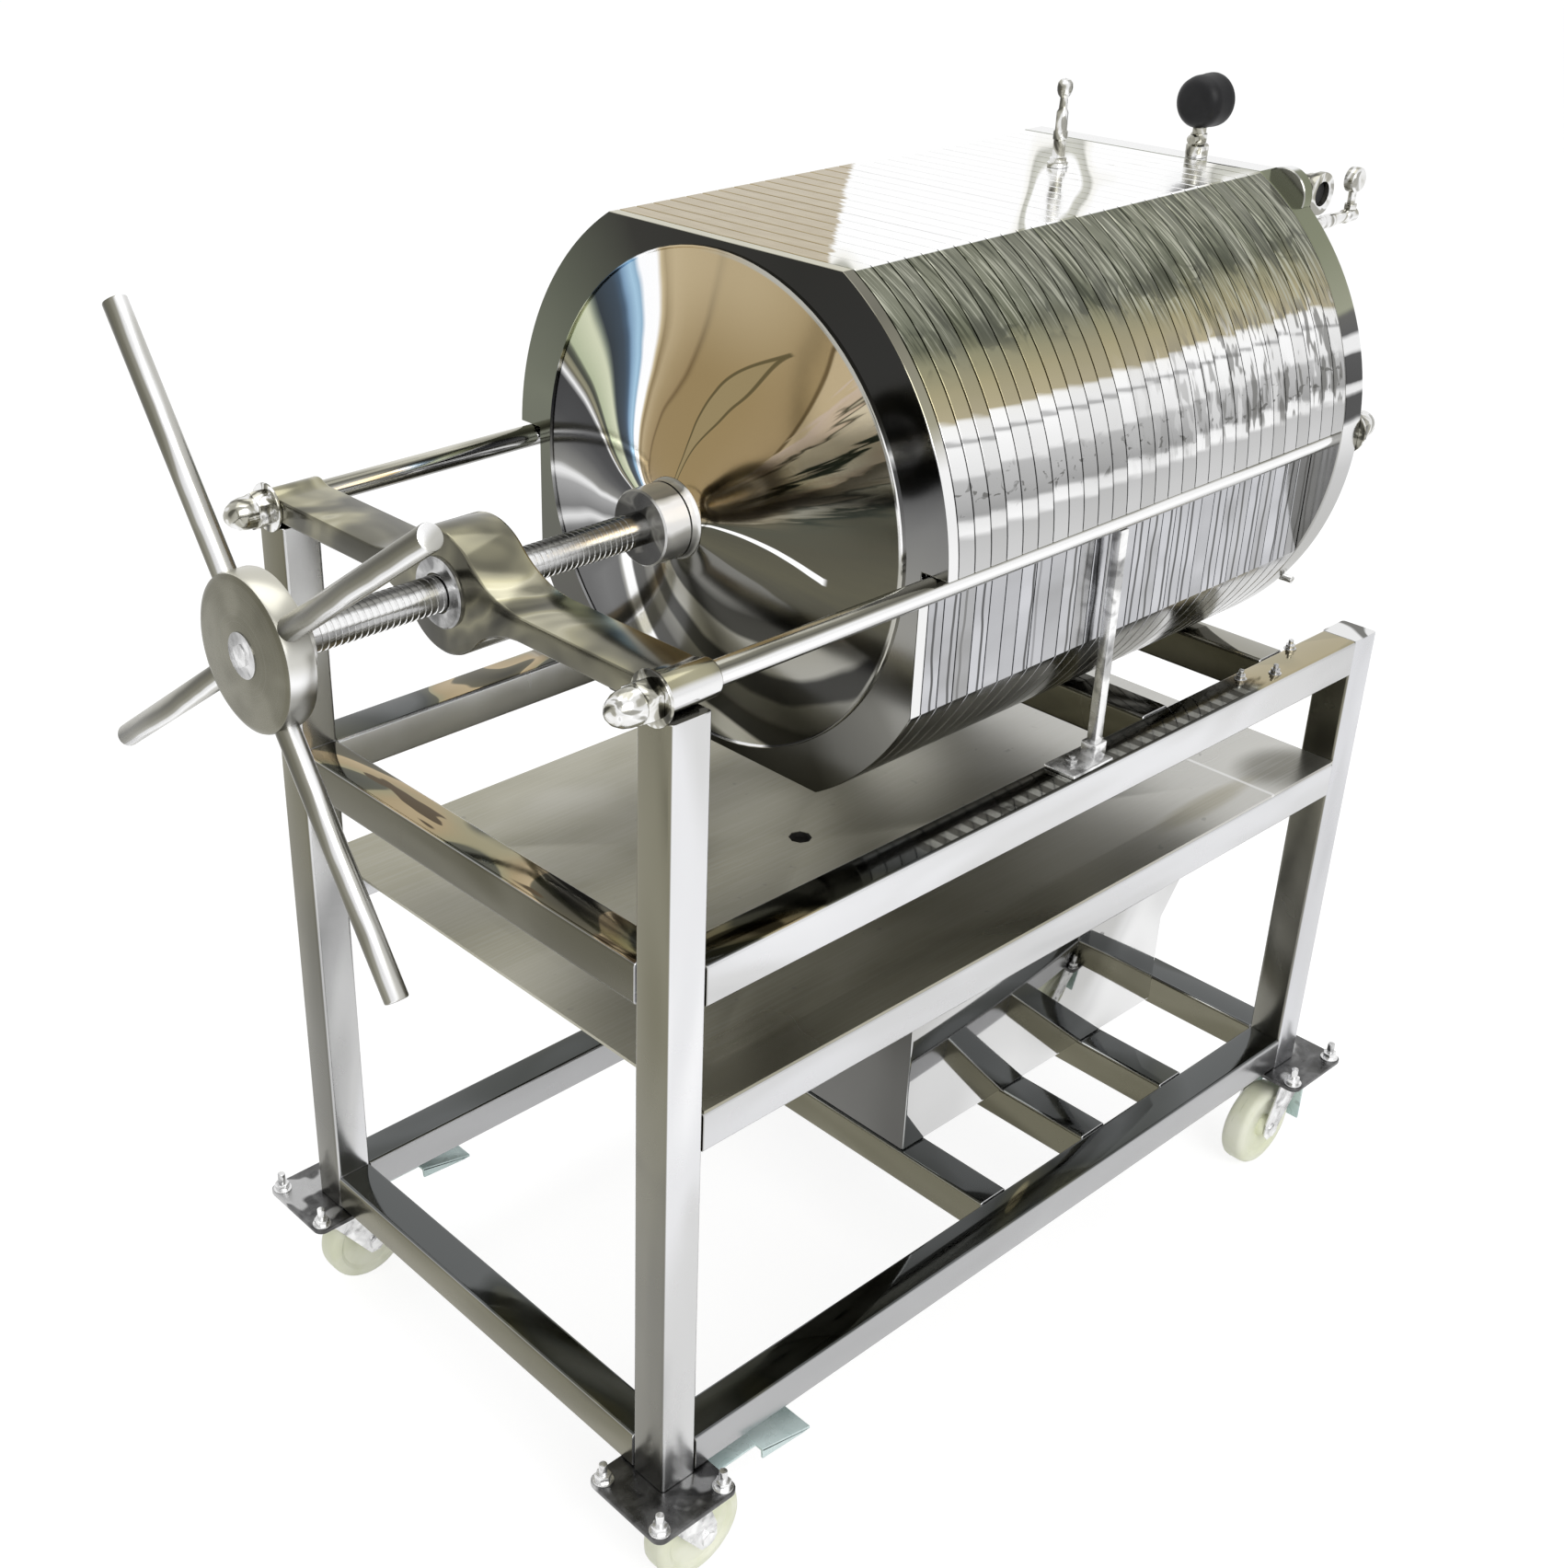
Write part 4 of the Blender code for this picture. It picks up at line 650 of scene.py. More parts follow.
def beam_steel(name):
    """The crossbeam, with painted reflections: tan and olive on its upper faces, olive in front,
    bright at its near end as a painted highlight, and painted shade underneath.
    """
    made = Finish(name, metallic=1.0)
    x, y, z = made.facing()
    cloud = made.stretched((9.0, 7.0, 9.0), distortion=1.4)
    top = made.ramp(cloud, [
        (0.34, 0.08, 0.4), (0.44, 0.15, 0.4), (0.5, 0.23, 0.45), (0.56, 0.34, 0.5),
        (0.6, 0.46, 0.4), (0.68, 0.2, 0.4)], "LINEAR")
    face = made.ramp(cloud, [
        (0.34, 0.05, 0.3), (0.46, 0.08, 0.35), (0.54, 0.13, 0.4), (0.62, 0.2, 0.45),
        (0.72, 0.1, 0.35)], "LINEAR")
    # Painted highlight on faces towards the near side
    near = tone(0.8)
    colour = made.mix(made.span(absolute(x), 0.55, 0.8), top, face)
    colour = made.mix(made.span(y * -1.0, 0.75, 0.95), colour, near)
    # Painted shade underneath
    colour = made.mix(made.span(z * -1.0, 0.3, 0.8), colour, tone(0.09, 0.2))
    return made.done(colour, cloud, 0.12, 0.2)


def turned_bar(name):
    """A round bar along X with painted reflections: olive above, bright on its outer side, and grey
    below as painted shade.
    """
    made = Finish(name, metallic=1.0)
    z = made.facing()[2]
    waver = made.stretched((6.0, 40.0, 40.0))
    lean = z + (waver - 0.5) * 0.45
    colour = made.around(lean, [
        (0.0, 0.12, 0.1), (0.2, 0.3, 0.1), (0.34, 0.62), (0.46, 0.92), (0.7, 0.9),
        (0.78, 0.3, 0.2), (0.84, 0.12, 0.25), (0.93, 0.2, 0.3), (1.0, 0.6, 0.2)])
    return made.done(colour, waver, 0.12, 0.2)


def screw_steel(name):
    """The screw, with painted reflections: bright on its near side, grey above, and painted shade
    in the thread's roots.
    """
    made = Finish(name, metallic=1.0)
    _, py, pz = made.split(made.coordinates())
    _, y, z = made.facing()
    radius = distance(py - MIDDLE_Y, pz - AXIS_Z)
    waver = made.stretched((30.0, 60.0, 60.0))
    lean = z * 0.7 + y * 0.7 + (waver - 0.5) * 0.3
    colour = made.around(lean, [
        (0.0, 0.2, 0.1), (0.18, 0.5), (0.3, 0.95), (0.48, 0.9), (0.58, 0.16, 0.1),
        (0.78, 0.06, 0.1), (1.0, 0.14, 0.1)])
    # Painted shade in the thread's roots
    colour = made.mix(made.span(radius, 0.015, 0.0144) * 0.3, colour, tone(0.08, 0.1))
    return made.done(colour, waver, 0.16, 0.26)


def satin_sheet(name):
    """Satin sheet, a warm grey with slow clouds and a few dried drips, paler towards its rear as a
    painted reflection. Near its rear end a painted reflection shows a dark thing and a bright edge."""
    made = Finish(name, metallic=0.9)
    spot = made.coordinates()
    grain = made.stretched((10.0, 420.0, 420.0))
    cloud = made.stretched((3.0, 6.0, 6.0), distortion=0.5)
    fleck = made.stretched((60.0, 60.0, 60.0))
    x, y, _ = made.split(spot)
    x, y = x - CORNER.x, y - CORNER.y
    colour = made.ramp(
        cloud, [(0.3, 0.26, 0.4), (0.48, 0.35, 0.34), (0.62, 0.42, 0.28), (0.78, 0.5, 0.2)])
    # Painted reflection: paler towards the rear
    colour = made.mix(made.span(x, 0.45, 0.85) * 0.7, colour, tone(0.62, 0.03))
    # Painted reflection: a dark patch near the rear end
    off_x, off_y = (x - 0.905) / 0.06, (y - 0.03) / 0.042
    shadow = made.span(off_x * off_x + off_y * off_y + (cloud - 0.5) * 1.6, 1.3, 0.0)
    colour = made.mix(shadow * 0.8, colour, shade(96, 94, 82))
    off_x, off_y = (x - 0.775) / 0.1, (y - 0.035) / 0.018
    stain = made.span(off_x * off_x + off_y * off_y + (cloud - 0.5) * 1.6, 1.0, 0.1)
    colour = made.mix(stain * 0.5, colour, shade(136, 128, 96))
    # Painted reflection: a bright line near the rear end
    colour = made.mix(
        made.span(absolute(x - 0.847), 0.003, 0.0012) * made.span(y, 0.112, 0.1) * 0.55, colour,
        tone(0.88))
    colour = made.mix(made.span(grain, 0.4, 0.7) * 0.1, colour, tone(0.66))
    colour = made.mix(made.span(fleck, 0.7, 0.76) * 0.4, colour, tone(0.22, 0.1))
    made.bump(grain, 0.03, 0.0003)
    return made.done(colour, cloud, 0.26, 0.36)


def mirror_sheet(name):
    """The cabinet's polished sheet, with painted reflections: clear on its sides, deep grey at its
    ends.
    """
    made = Finish(name, metallic=1.0)
    x = made.facing()[0]
    wave = made.stretched((4.0, 4.0, 4.0), detail=1.0, distortion=0.5)
    side = made.ramp(wave, [(0.35, 0.46, 0.03), (0.5, 0.62), (0.6, 0.74), (0.75, 0.56, 0.02)])
    end = made.ramp(wave, [(0.35, 0.09, 0.1), (0.55, 0.14, 0.08), (0.75, 0.22, 0.08)])
    made.bump(wave, 0.1, 0.002)
    return made.done(made.mix(made.span(absolute(x), 0.6, 0.8), side, end), wave, 0.03, 0.07)


def hub_steel(name):
    """The hub's turned face: fine rings and a warm grey, with painted reflections round its rim."""
    made = Finish(name, metallic=1.0)
    x, y, z = made.split(made.coordinates())
    nx, _, nz = made.facing()
    reach = distance(y - MIDDLE_Y, z - AXIS_Z)
    rings = made.drawn(reach * 700.0, 0.0, 0.0)
    cloud = made.noise(made.join(y, z, x), scale=14.0)
    face = made.ramp(
        cloud, [(0.3, 0.1, 0.45), (0.5, 0.14, 0.4), (0.62, 0.19, 0.35), (0.78, 0.13, 0.4)])
    # Painted reflections on the rim, by the way it faces
    rim = made.ramp(made.span(nz + (cloud - 0.5) * 0.5, -1.0, 1.0), [
        (0.0, 0.14, 0.2), (0.3, 0.34, 0.1), (0.5, 0.86), (0.66, 0.6, 0.1), (0.82, 0.2, 0.2),
        (1.0, 0.55, 0.2)])
    colour = made.mix(made.span(nx * -1.0, 0.5, 0.9), rim, face)
    colour = made.mix(made.span(rings, 0.5, 0.7) * 0.1, colour, tone(0.45, 0.1))
    made.bump(rings, 0.05, 0.0002)
    return made.done(colour, rings, 0.22, 0.34)


def turned_spoke(name):
    """Drawn round bar with painted reflections: bright on one side, warm grey on the other, with
    soft changes along it.
    """
    made = Finish(name, metallic=1.0)
    x, y, z = made.facing()
    waver = made.stretched((12.0, 12.0, 12.0))
    lean = y * 0.75 + z * 0.25 - x * 0.35 + (waver - 0.5) * 0.5
    colour = made.ramp(made.span(lean, -1.0, 1.0), [
        (0.0, 0.22, 0.2), (0.16, 0.5, 0.1), (0.26, 0.86), (0.38, 0.7), (0.48, 0.26, 0.25),
        (0.66, 0.15, 0.35), (0.84, 0.1, 0.3), (1.0, 0.4, 0.2)])
    return made.done(colour, waver, 0.2, 0.3)


def zinc(name, level=0.3, roughness=0.32):
    """Zinc plate: mottled, brighter at worn spots."""
    made = Finish(name, metallic=0.95)
    spot = made.coordinates()
    mottle = made.noise(spot, scale=60.0, detail=3.0, distortion=0.5)
    cloud = made.noise(spot, scale=22.0)
    colour = made.ramp(mottle, [(0.32, level * 0.55), (0.5, level), (0.68, min(level * 1.6, 0.95))])
    colour = made.mix(made.span(cloud, 0.56, 0.62) * 0.5, colour, tone(0.8))
    colour = made.mix(made.span(cloud, 0.42, 0.36) * 0.5, colour, tone(0.06, 0.1))
    made.bump(mottle, 0.05, 0.0003)
    return made.done(colour, mottle, roughness * 0.75, roughness * 1.2)


def nylon(name, colours):
    """Cream nylon with faint scuffs on the tread."""
    made = Finish(name)
    spot = made.coordinates()
    cloud = made.noise(spot, scale=22.0, detail=3.0)
    scuff = made.stretched((40.0, 240.0, 40.0), detail=3.0)
    colour = made.mix(made.span(cloud, 0.35, 0.7), colours.wheel, (0.9, 0.91, 0.76))
    colour = made.mix(made.span(scuff, 0.62, 0.82) * 0.3, colour, (0.45, 0.47, 0.34))
    made.set("Base Color", colour)
    made.set("Roughness", made.span(scuff, 0.4, 0.8, 0.36, 0.6))
    made.bump(scuff, 0.06, 0.0004)
    return made.material


def pedal_paint(name, colours):
    """Pale pedal paint, rubbed bare along its edges."""
    made = Finish(name, metallic=0.25)
    spot = made.coordinates()
    rub = made.noise(spot, scale=48.0, detail=4.0, distortion=0.8)
    cloud = made.noise(spot, scale=16.0)
    colour = made.mix(made.span(cloud, 0.3, 0.7), colours.pedal, (0.64, 0.76, 0.75))
    colour = made.mix(made.span(rub, 0.6, 0.7) * 0.6, colour, (0.28, 0.34, 0.33))
    made.set("Base Color", colour)
    made.set("Roughness", made.span(rub, 0.4, 0.7, 0.25, 0.45))
    made.bump(rub, 0.08, 0.0004)
    return made.material


def rubber(name, colour):
    """Dull black rubber with a fine grain."""
    made = Finish(name)
    grain = made.noise(made.coordinates(), scale=220.0, detail=3.0)
    made.bump(grain, 0.15, 0.0004)
    return made.done(
        made.mix(made.span(grain, 0.35, 0.7), colour, tuple(c * 2.0 for c in colour)), grain, 0.6,
        0.8)


def gasket_rubber(name, colours):
    """Dark gasket rubber, painted pale on the flat top as a painted reflection that matches the
    rims' tan.
    """
    made = Finish(name)
    spot = made.coordinates()
    x, y, z = made.split(spot)
    grain = made.noise(spot, scale=160.0, detail=3.0)
    colour = made.mix(made.span(grain, 0.35, 0.7), colours.gasket, tone(0.035, 0.2))
    # Painted reflection on the flat top: tan in front of the rims' tan line, grey beyond
    front = tan_front(made, (x, y))
    pale = made.mix(
        front, tone(0.55),
        made.mix(made.span(grain, 0.35, 0.7), shade(112, 100, 74), shade(126, 114, 88)))
    made.bump(grain, 0.12, 0.0004)
    return made.done(
        made.mix(made.span(z - AXIS_Z, RIM_FLAT - 0.002, RIM_FLAT - 0.001), colour, pale), grain,
        0.6, 0.8)


def gloss_black(name, colours):
    """Black moulded plastic with a soft shine."""
    made = Finish(name)
    cloud = made.noise(made.coordinates(), scale=40.0, detail=3.0)
    made.set(
        "Base Color", made.mix(made.span(cloud, 0.4, 0.75), colours.gauge, (0.012, 0.012, 0.013)))
    made.set("Roughness", made.span(cloud, 0.3, 0.7, 0.34, 0.46))
    made.shader.inputs["Specular IOR Level"].default_value = 0.25
    return made.material


def dial_face(name, centre, radius):
    """A white dial with an even scale of ticks. It carries no words."""
    made = Finish(name, roughness=0.35)
    _, y, z = made.split(made.coordinates())
    out, up = y - centre.y, z - centre.z
    angle, reach = bearing(out, up), distance(out, up)
    step = angle.maths("PINGPONG", angle / 9.0, 0.5)
    tick = made.span(step, 0.1, 0.05) * made.span(reach, radius * 0.6, radius * 0.62)
    tick = tick * made.span(
        reach, radius * 0.77, radius * 0.75) * made.span(absolute(angle), 136.0, 134.0)
    made.set("Base Color", made.mix(tick, (0.86, 0.86, 0.84), (0.02, 0.02, 0.02)))
    return made.material


# Shapes


def fresh(mesh, before):
    """The points that the mesh has gained."""
    return [vert for vert in mesh.verts if vert not in before]


def along(start, end):
    """A matrix that carries Z from start to end."""
    span = Vector(end) - Vector(start)
    return Matrix.Translation(start) @ span.to_track_quat("Z", "Y").to_matrix().to_4x4()


def bevel(mesh, edges, width, steps, clamp=False):
    bmesh.ops.bevel(
        mesh, geom=edges, offset=width, segments=steps, profile=0.5, affect="EDGES", material=-1,
        clamp_overlap=clamp)


def edges_along(mesh, axis):
    return [edge for edge in mesh.edges
            if abs((edge.verts[1].co - edge.verts[0].co).normalized()[axis]) > 0.9]


def bar(mesh, start, end, radius, sides=28, chamfer=0.0):
    """A round bar from start to end."""
    before = set(mesh.verts)
    length = (Vector(end) - Vector(start)).length
    matrix = along(start, end) @ Matrix.Translation((0, 0, length / 2))
    bmesh.ops.create_cone(
        mesh, cap_ends=True, segments=sides, radius1=radius, radius2=radius, depth=length,
        matrix=matrix)
    verts = fresh(mesh, before)
    if chamfer:
        ease(mesh, verts, chamfer, steps=2, sharper=50)
    return verts


def block(mesh, low, high, rounding=0.0):
    """A block between two corners with eased edges."""
    before = set(mesh.verts)
    low, high = Vector(low), Vector(high)
    matrix = Matrix.Translation((low + high) / 2) @ Matrix.Diagonal((*(high - low), 1.0))
    bmesh.ops.create_cube(mesh, size=1.0, matrix=matrix)
    if rounding:
        ease(mesh, fresh(mesh, before), rounding)
    return fresh(mesh, before)


def ease(mesh, verts, width, steps=2, sharper=30.0):
    """Rounds the edges of these points that turn by more than an angle in degrees."""
    chosen = set(verts)
    bmesh.ops.recalc_face_normals(mesh, faces=mesh.faces)
    edges = [
        edge for edge in mesh.edges
        if edge.verts[0] in chosen and edge.verts[1] in chosen and len(edge.link_faces) == 2
        and edge.calc_face_angle(0.0) > math.radians(sharper)
    ]
    bevel(mesh, edges, width, steps, clamp=True)


def lathe(mesh, profile, start, end, steps=48):
    """Spins a profile of (along, radius) pairs about the line from start to end."""
    before = set(mesh.verts)
    points = [mesh.verts.new((radius, 0.0, height)) for height, radius in profile]
    edges = [mesh.edges.new(pair) for pair in zip(points, points[1:])]
    bmesh.ops.spin(
        mesh, geom=points + edges, cent=(0, 0, 0), axis=(0, 0, 1), angle=math.tau, steps=steps,
        use_merge=True)
    bmesh.ops.remove_doubles(mesh, verts=fresh(mesh, before), dist=1e-6)
    verts = fresh(mesh, before)
    bmesh.ops.transform(mesh, matrix=along(start, end), verts=verts)
    return verts


def thicken(mesh, faces, offset):
    """Draws faces out by an offset, with walls round them."""
    grown = bmesh.ops.extrude_face_region(mesh, geom=faces)
    lifted = [item for item in grown["geom"] if isinstance(item, bmesh.types.BMVert)]
    bmesh.ops.translate(mesh, vec=offset, verts=lifted)


def slab(mesh, outline, thickness, matrix, rounding=0.0, steps=2):
    """A flat outline of a few points, thickened along the matrix's Z and eased."""
    before = set(mesh.verts)
    face = mesh.faces.new([mesh.verts.new((a, b, 0.0)) for a, b in outline])
    thicken(mesh, [face], (0, 0, thickness))
    bmesh.ops.transform(mesh, matrix=matrix, verts=fresh(mesh, before))
    if rounding:
        ease(mesh, fresh(mesh, before), rounding, steps)
    return fresh(mesh, before)


def nut(mesh, foot, direction, width, height, washer=0.0):
    """A hexagon nut on its washer, standing on its foot point."""
    foot, direction = Vector(foot), Vector(direction).normalized()
    if washer:
        bar(mesh, foot, foot + direction * washer, width * 0.72, sides=28, chamfer=washer * 0.2)
    verts = bar(
        mesh, foot + direction * washer, foot + direction * (washer + height), width * 0.577,
        sides=6)
    ease(mesh, verts, min(width, height) * 0.08, steps=2, sharper=20)
    return foot + direction * (washer + height)


def stud_and_nut(mesh, foot, direction, radius, reach):
    """A nut on its washer with the stud's end standing out of it."""
    top = nut(mesh, foot, direction, radius * 3.4, radius * 1.6, washer=radius * 0.35)
    bar(
        mesh, top, top + Vector(direction).normalized() * reach, radius, sides=16,
        chamfer=radius * 0.15)


def finish_piece(name, mesh, paint, replaces=(), body="press", slot="polished_steel", smooth=30.0):
    """Makes the mesh an object that rides on a body and takes its paint."""
    bmesh.ops.recalc_face_normals(mesh, faces=mesh.faces)
    data = bpy.data.meshes.new(name)
    mesh.to_mesh(data)
    mesh.free()
    data.shade_smooth()
    data.set_sharp_from_angle(angle=math.radians(smooth))
    data.materials.append(paint)
    piece = bpy.data.objects.new(name, data)
    bpy.context.scene.collection.objects.link(piece)
    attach(piece, body)
    if replaces:
        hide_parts(*replaces)


def spun_piece(name, profile, start, end, steps, *fit, **how):
    """A piece of one spun profile, finished as finish_piece says."""
    mesh = bmesh.new()
    lathe(mesh, profile, start, end, steps)
    finish_piece(name, mesh, *fit, **how)


def plate_blank(mesh, radius, flat, side, shoulder, sides=168):
    """The flat outline of a plate as one face across X: a circle with a flat top and bottom, and
    straight lower sides under the shoulders."""
    matrix = Matrix.Translation((0, MIDDLE_Y, AXIS_Z)) @ ACROSS
    bmesh.ops.create_circle(mesh, cap_ends=True, radius=radius, segments=sides, matrix=matrix)

    def cut(offset, normal, outer):
        bmesh.ops.bisect_plane(
            mesh, geom=mesh.verts[:] + mesh.edges[:] + mesh.faces[:],
            plane_co=Vector((0, MIDDLE_Y, AXIS_Z)) + Vector(offset), plane_no=normal,
            clear_outer=outer)

    cut((0, 0, flat), (0, 0, 1), True)
    cut((0, 0, -flat), (0, 0, -1), True)
    if side:
        cut((0, 0, shoulder), (0, 0, 1), False)
        cut((0, side, 0), (0, 1, 0), False)
        cut((0, -side, 0), (0, -1, 0), False)
        spare = [
            face for face in mesh.faces
            if face.calc_center_median().z < AXIS_Z + shoulder
            and abs(face.calc_center_median().y - MIDDLE_Y) > side
        ]
        bmesh.ops.delete(mesh, geom=spare, context="FACES")
        bmesh.ops.dissolve_faces(mesh, faces=mesh.faces[:])


def thick_plate(low, high, radius, flat, side, shoulder, rounding, sides=168):
    """A plate between two places on X with eased rims, as a mesh of its own."""
    mesh = bmesh.new()
    plate_blank(mesh, radius, flat, side, shoulder, sides)
    thicken(mesh, mesh.faces[:], (high - low, 0, 0))
    bmesh.ops.translate(mesh, vec=(low, 0, 0), verts=mesh.verts)
    if rounding:
        bmesh.ops.recalc_face_normals(mesh, faces=mesh.faces)
        rims = [edge for edge in mesh.edges if edge.calc_face_angle(0.0) > math.radians(75)
                and abs((edge.verts[0].co - edge.verts[1].co).x) < 1e-6]
        bevel(mesh, rims, rounding, 2, clamp=True)
    return mesh


def repeat(mesh, count, pitch):
    """Repeats what the mesh holds along X."""
    first = mesh.verts[:] + mesh.edges[:] + mesh.faces[:]
    for number in range(1, count):
        made = bmesh.ops.duplicate(mesh, geom=first)
        verts = [item for item in made["geom"] if isinstance(item, bmesh.types.BMVert)]
        bmesh.ops.translate(mesh, vec=(pitch * number, 0, 0), verts=verts)


# Operators


class PressStep:
    """What the press's operators share"""

    bl_options = {"REGISTER", "UNDO"}

    @property
    def sizes(self):
        return bpy.context.scene.filter_press_sizes

    @property
    def colours(self):
        return bpy.context.scene.filter_press_colours


class FILTERPRESS_OT_frame(PressStep, bpy.types.Operator):
    """Rounded square tubes of the welded frame"""

    bl_idname = "filter_press.frame"
    bl_label = "Welded frame"

    def execute(self, context):
        posts = ["post_" + corner for corner in CORNERS]
        low_rails = [f"{level}_rail_{side}" for level in ("bottom", "tray") for side in SIDES]
        across = ["bottom_end_rail_front", "bottom_end_rail_rear"]
        across += [f"lower_bearer_{number}" for number in (1, 2, 3)]
        upper_rails = ["upper_rail_" + side for side in SIDES]
        comb = (PLATE_LOW.x, PITCH, CORNER.x + 0.29, CORNER.x + 0.8)
        # The plain tops of posts and upper bearers, the tan shifts and the dim ends set painted
        # reflections and painted shade
        self.tubes(2, posts, tube_steel("post_steel", 2, plain_top=tone(0.8)))
        self.tubes(0, low_rails, tube_steel("rail_steel", 0, tan=-0.1))
        self.tubes(1, across, tube_steel("low_bearer_steel", 1, tan=-0.1))
        self.tubes(
            1, ["upper_bearer_1", "upper_bearer_2"],
            tube_steel("bearer_steel", 1, plain_top=shade(152, 150, 140)))
        self.tubes(1, ["upper_end_rail"], tube_steel("end_rail_steel", 1, tan=0.14, dim=0.28))
        self.tubes(0, upper_rails, tube_steel("upper_rail_steel", 0, comb, tan=0.05))
        return {"FINISHED"}

    def tubes(self, axis, names, paint):
        for name in names:
            low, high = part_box(name)
            mesh = bmesh.new()
            block(mesh, low, high)
            bevel(mesh, edges_along(mesh, axis), self.sizes.tube_corner, 4)
            ease(mesh, mesh.verts[:], 0.0006, 1, sharper=75)
            finish_piece("tube_" + name, mesh, paint, [name], slot="brushed_tube", smooth=40)


class FILTERPRESS_OT_sheet_work(PressStep, bpy.types.Operator):
    """Drip tray with its drain, and the cabinet under it"""

    bl_idname = "filter_press.sheet_work"
    bl_label = "Sheet work"

    def execute(self, context):
        tray = frame["nodes"]["drip_tray"]
        tray.data.materials.clear()
        tray.data.materials.append(satin_sheet("tray_sheet"))
        self.drain()
        low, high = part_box("lower_cabinet")
        flare = 0.038
        mesh = bmesh.new()
        outline = [
            (low.x, low.z), (high.x - flare, low.z), (high.x - flare, low.z + 0.115),
            (high.x, low.z + 0.17), (high.x, high.z), (low.x, high.z)]
        matrix = Matrix.Translation((0, high.y, 0)) @ STANDING
        slab(mesh, outline, high.y - low.y, matrix, rounding=0.003, steps=3)
        finish_piece(
            "cabinet_skin", mesh, mirror_sheet("cabinet_steel"), ["lower_cabinet"], smooth=32)
        return {"FINISHED"}

    def drain(self):
        """A short dark pipe in the tray's drain hole."""
        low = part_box("drip_tray")[0]
        top = Vector((CORNER.x + 0.43, MIDDLE_Y, low.z + 0.0022))
        profile = [
            (0.0, 0.0104), (0.0, 0.0116), (0.009, 0.0116), (0.009, 0.0), (0.006, 0.0),
            (0.006, 0.0104), (0.0, 0.0104)]
        spun_piece(
            "tray_drain", profile, top, top - UP, 40, rubber("drain_dark", (0.016, 0.015, 0.013)),
            slot=None)


class FILTERPRESS_OT_plates(PressStep, bpy.types.Operator):
    """The stack of plates and the gaskets in its seams"""

    bl_idname = "filter_press.plates"
    bl_label = "Plate stack"

    def execute(self, context):
        sizes = self.sizes
        pitch = PACK_LENGTH / sizes.plate_count
        steel = rim_steel("rim_steel", pitch, PLATE_LOW.x)
        black = gasket_rubber("gasket_rubber", self.colours)
        side = RIM_RADIUS - sizes.shoulder
        shrink = sizes.seam_depth
        for pack in range(1, PACKS + 1):
            low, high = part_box(f"plate_pack_{pack}")
            plate = thick_plate(
                low.x + sizes.plate_seam / 2, low.x + pitch - sizes.plate_seam / 2, RIM_RADIUS,
                RIM_FLAT, side, SHOULDER_RISE, 0.0006)
            repeat(plate, sizes.plate_count, pitch)
            finish_piece(f"plates_{pack}", plate, steel, [f"plate_pack_{pack}"], smooth=20)
            gasket = thick_plate(
                low.x + 0.0005, high.x - 0.0005, RIM_RADIUS - shrink, RIM_FLAT - 0.0004,
                side - shrink, SHOULDER_RISE + shrink, 0.0, sides=72)
            finish_piece(f"gaskets_{pack}", gasket, black, slot=None, smooth=35)
        return {"FINISHED"}


class FILTERPRESS_OT_heads(PressStep, bpy.types.Operator):
    """The pressing head with its polished cone, and the rear head with its outlet lug"""

    bl_idname = "filter_press.heads"
    bl_label = "Heads"

    def execute(self, context):
        low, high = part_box("moving_head")
        face = high.x - 0.012
        mesh = thick_plate(
            face, high.x, RIM_RADIUS, RIM_FLAT, RIM_RADIUS - self.sizes.shoulder, SHOULDER_RISE,
            0.0009)
        finish_piece(
            "head_ring", mesh, ring_steel("head_ring_steel"), ["moving_head"],
            body="pressing_head", smooth=20)
        depth = face - low.x
        foot, tip = Vector((face, MIDDLE_Y, AXIS_Z)), Vector((low.x, MIDDLE_Y, AXIS_Z))
        base, crown, rise = 0.2215, 0.0372, 0.047
        profile = [
            (-0.001, 0.224), (0.0022, 0.224), (0.003, 0.2232), (0.003, 0.2226), (0.0012, base)]
        profile += [(0.0012 + (rise - 0.0012) * t, base + (crown - base) * t ** 0.94)
                    for t in (0.06, 0.14, 0.25, 0.38, 0.52, 0.66, 0.8, 0.9, 1.0)]
        profile += [(rise + 0.0006, 0.0365), (rise + 0.0006, 0.0)]
        spun_piece(
            "head_cone", profile, foot, tip, 96, cone_steel("cone_steel"), body="pressing_head",
            smooth=28)
        profile = [
            (rise - 0.002, 0.0), (rise - 0.002, 0.0362), (rise + 0.0012, 0.0362),
            (rise + 0.0025, 0.0352), (rise + 0.004, 0.0345), (depth - 0.03, 0.0345),
            (depth - 0.03, 0.032), (depth - 0.0285, 0.032), (depth - 0.0285, 0.034),
            (depth - 0.0015, 0.034), (depth, 0.0325), (depth, 0.0)]
        spun_piece(
            "head_boss", profile, foot, tip, 64, boss_steel("boss_steel"), body="pressing_head",
            smooth=28)
        mesh = thick_plate(REAR_LOW.x, REAR_HIGH.x, RIM_RADIUS, RIM_FLAT, 0.0, 0.0, 0.0016)
        steel = rear_steel("rear_head_steel")
        finish_piece("rear_disc", mesh, steel, ["rear_head"], smooth=20)
        lug_radius = REAR_HIGH.z - PORT.z
        inner = Vector((REAR_HIGH.x - 0.014, PORT.y, PORT.z))
        profile = [
            (0.0, 0.0), (0.0, lug_radius - 0.001), (0.001, lug_radius), (0.0125, lug_radius),
            (0.014, lug_radius - 0.0015), (0.014, 0.0)]
        spun_piece("outlet_lug", profile, inner, inner + REARWARD, 56, steel)
        return {"FINISHED"}


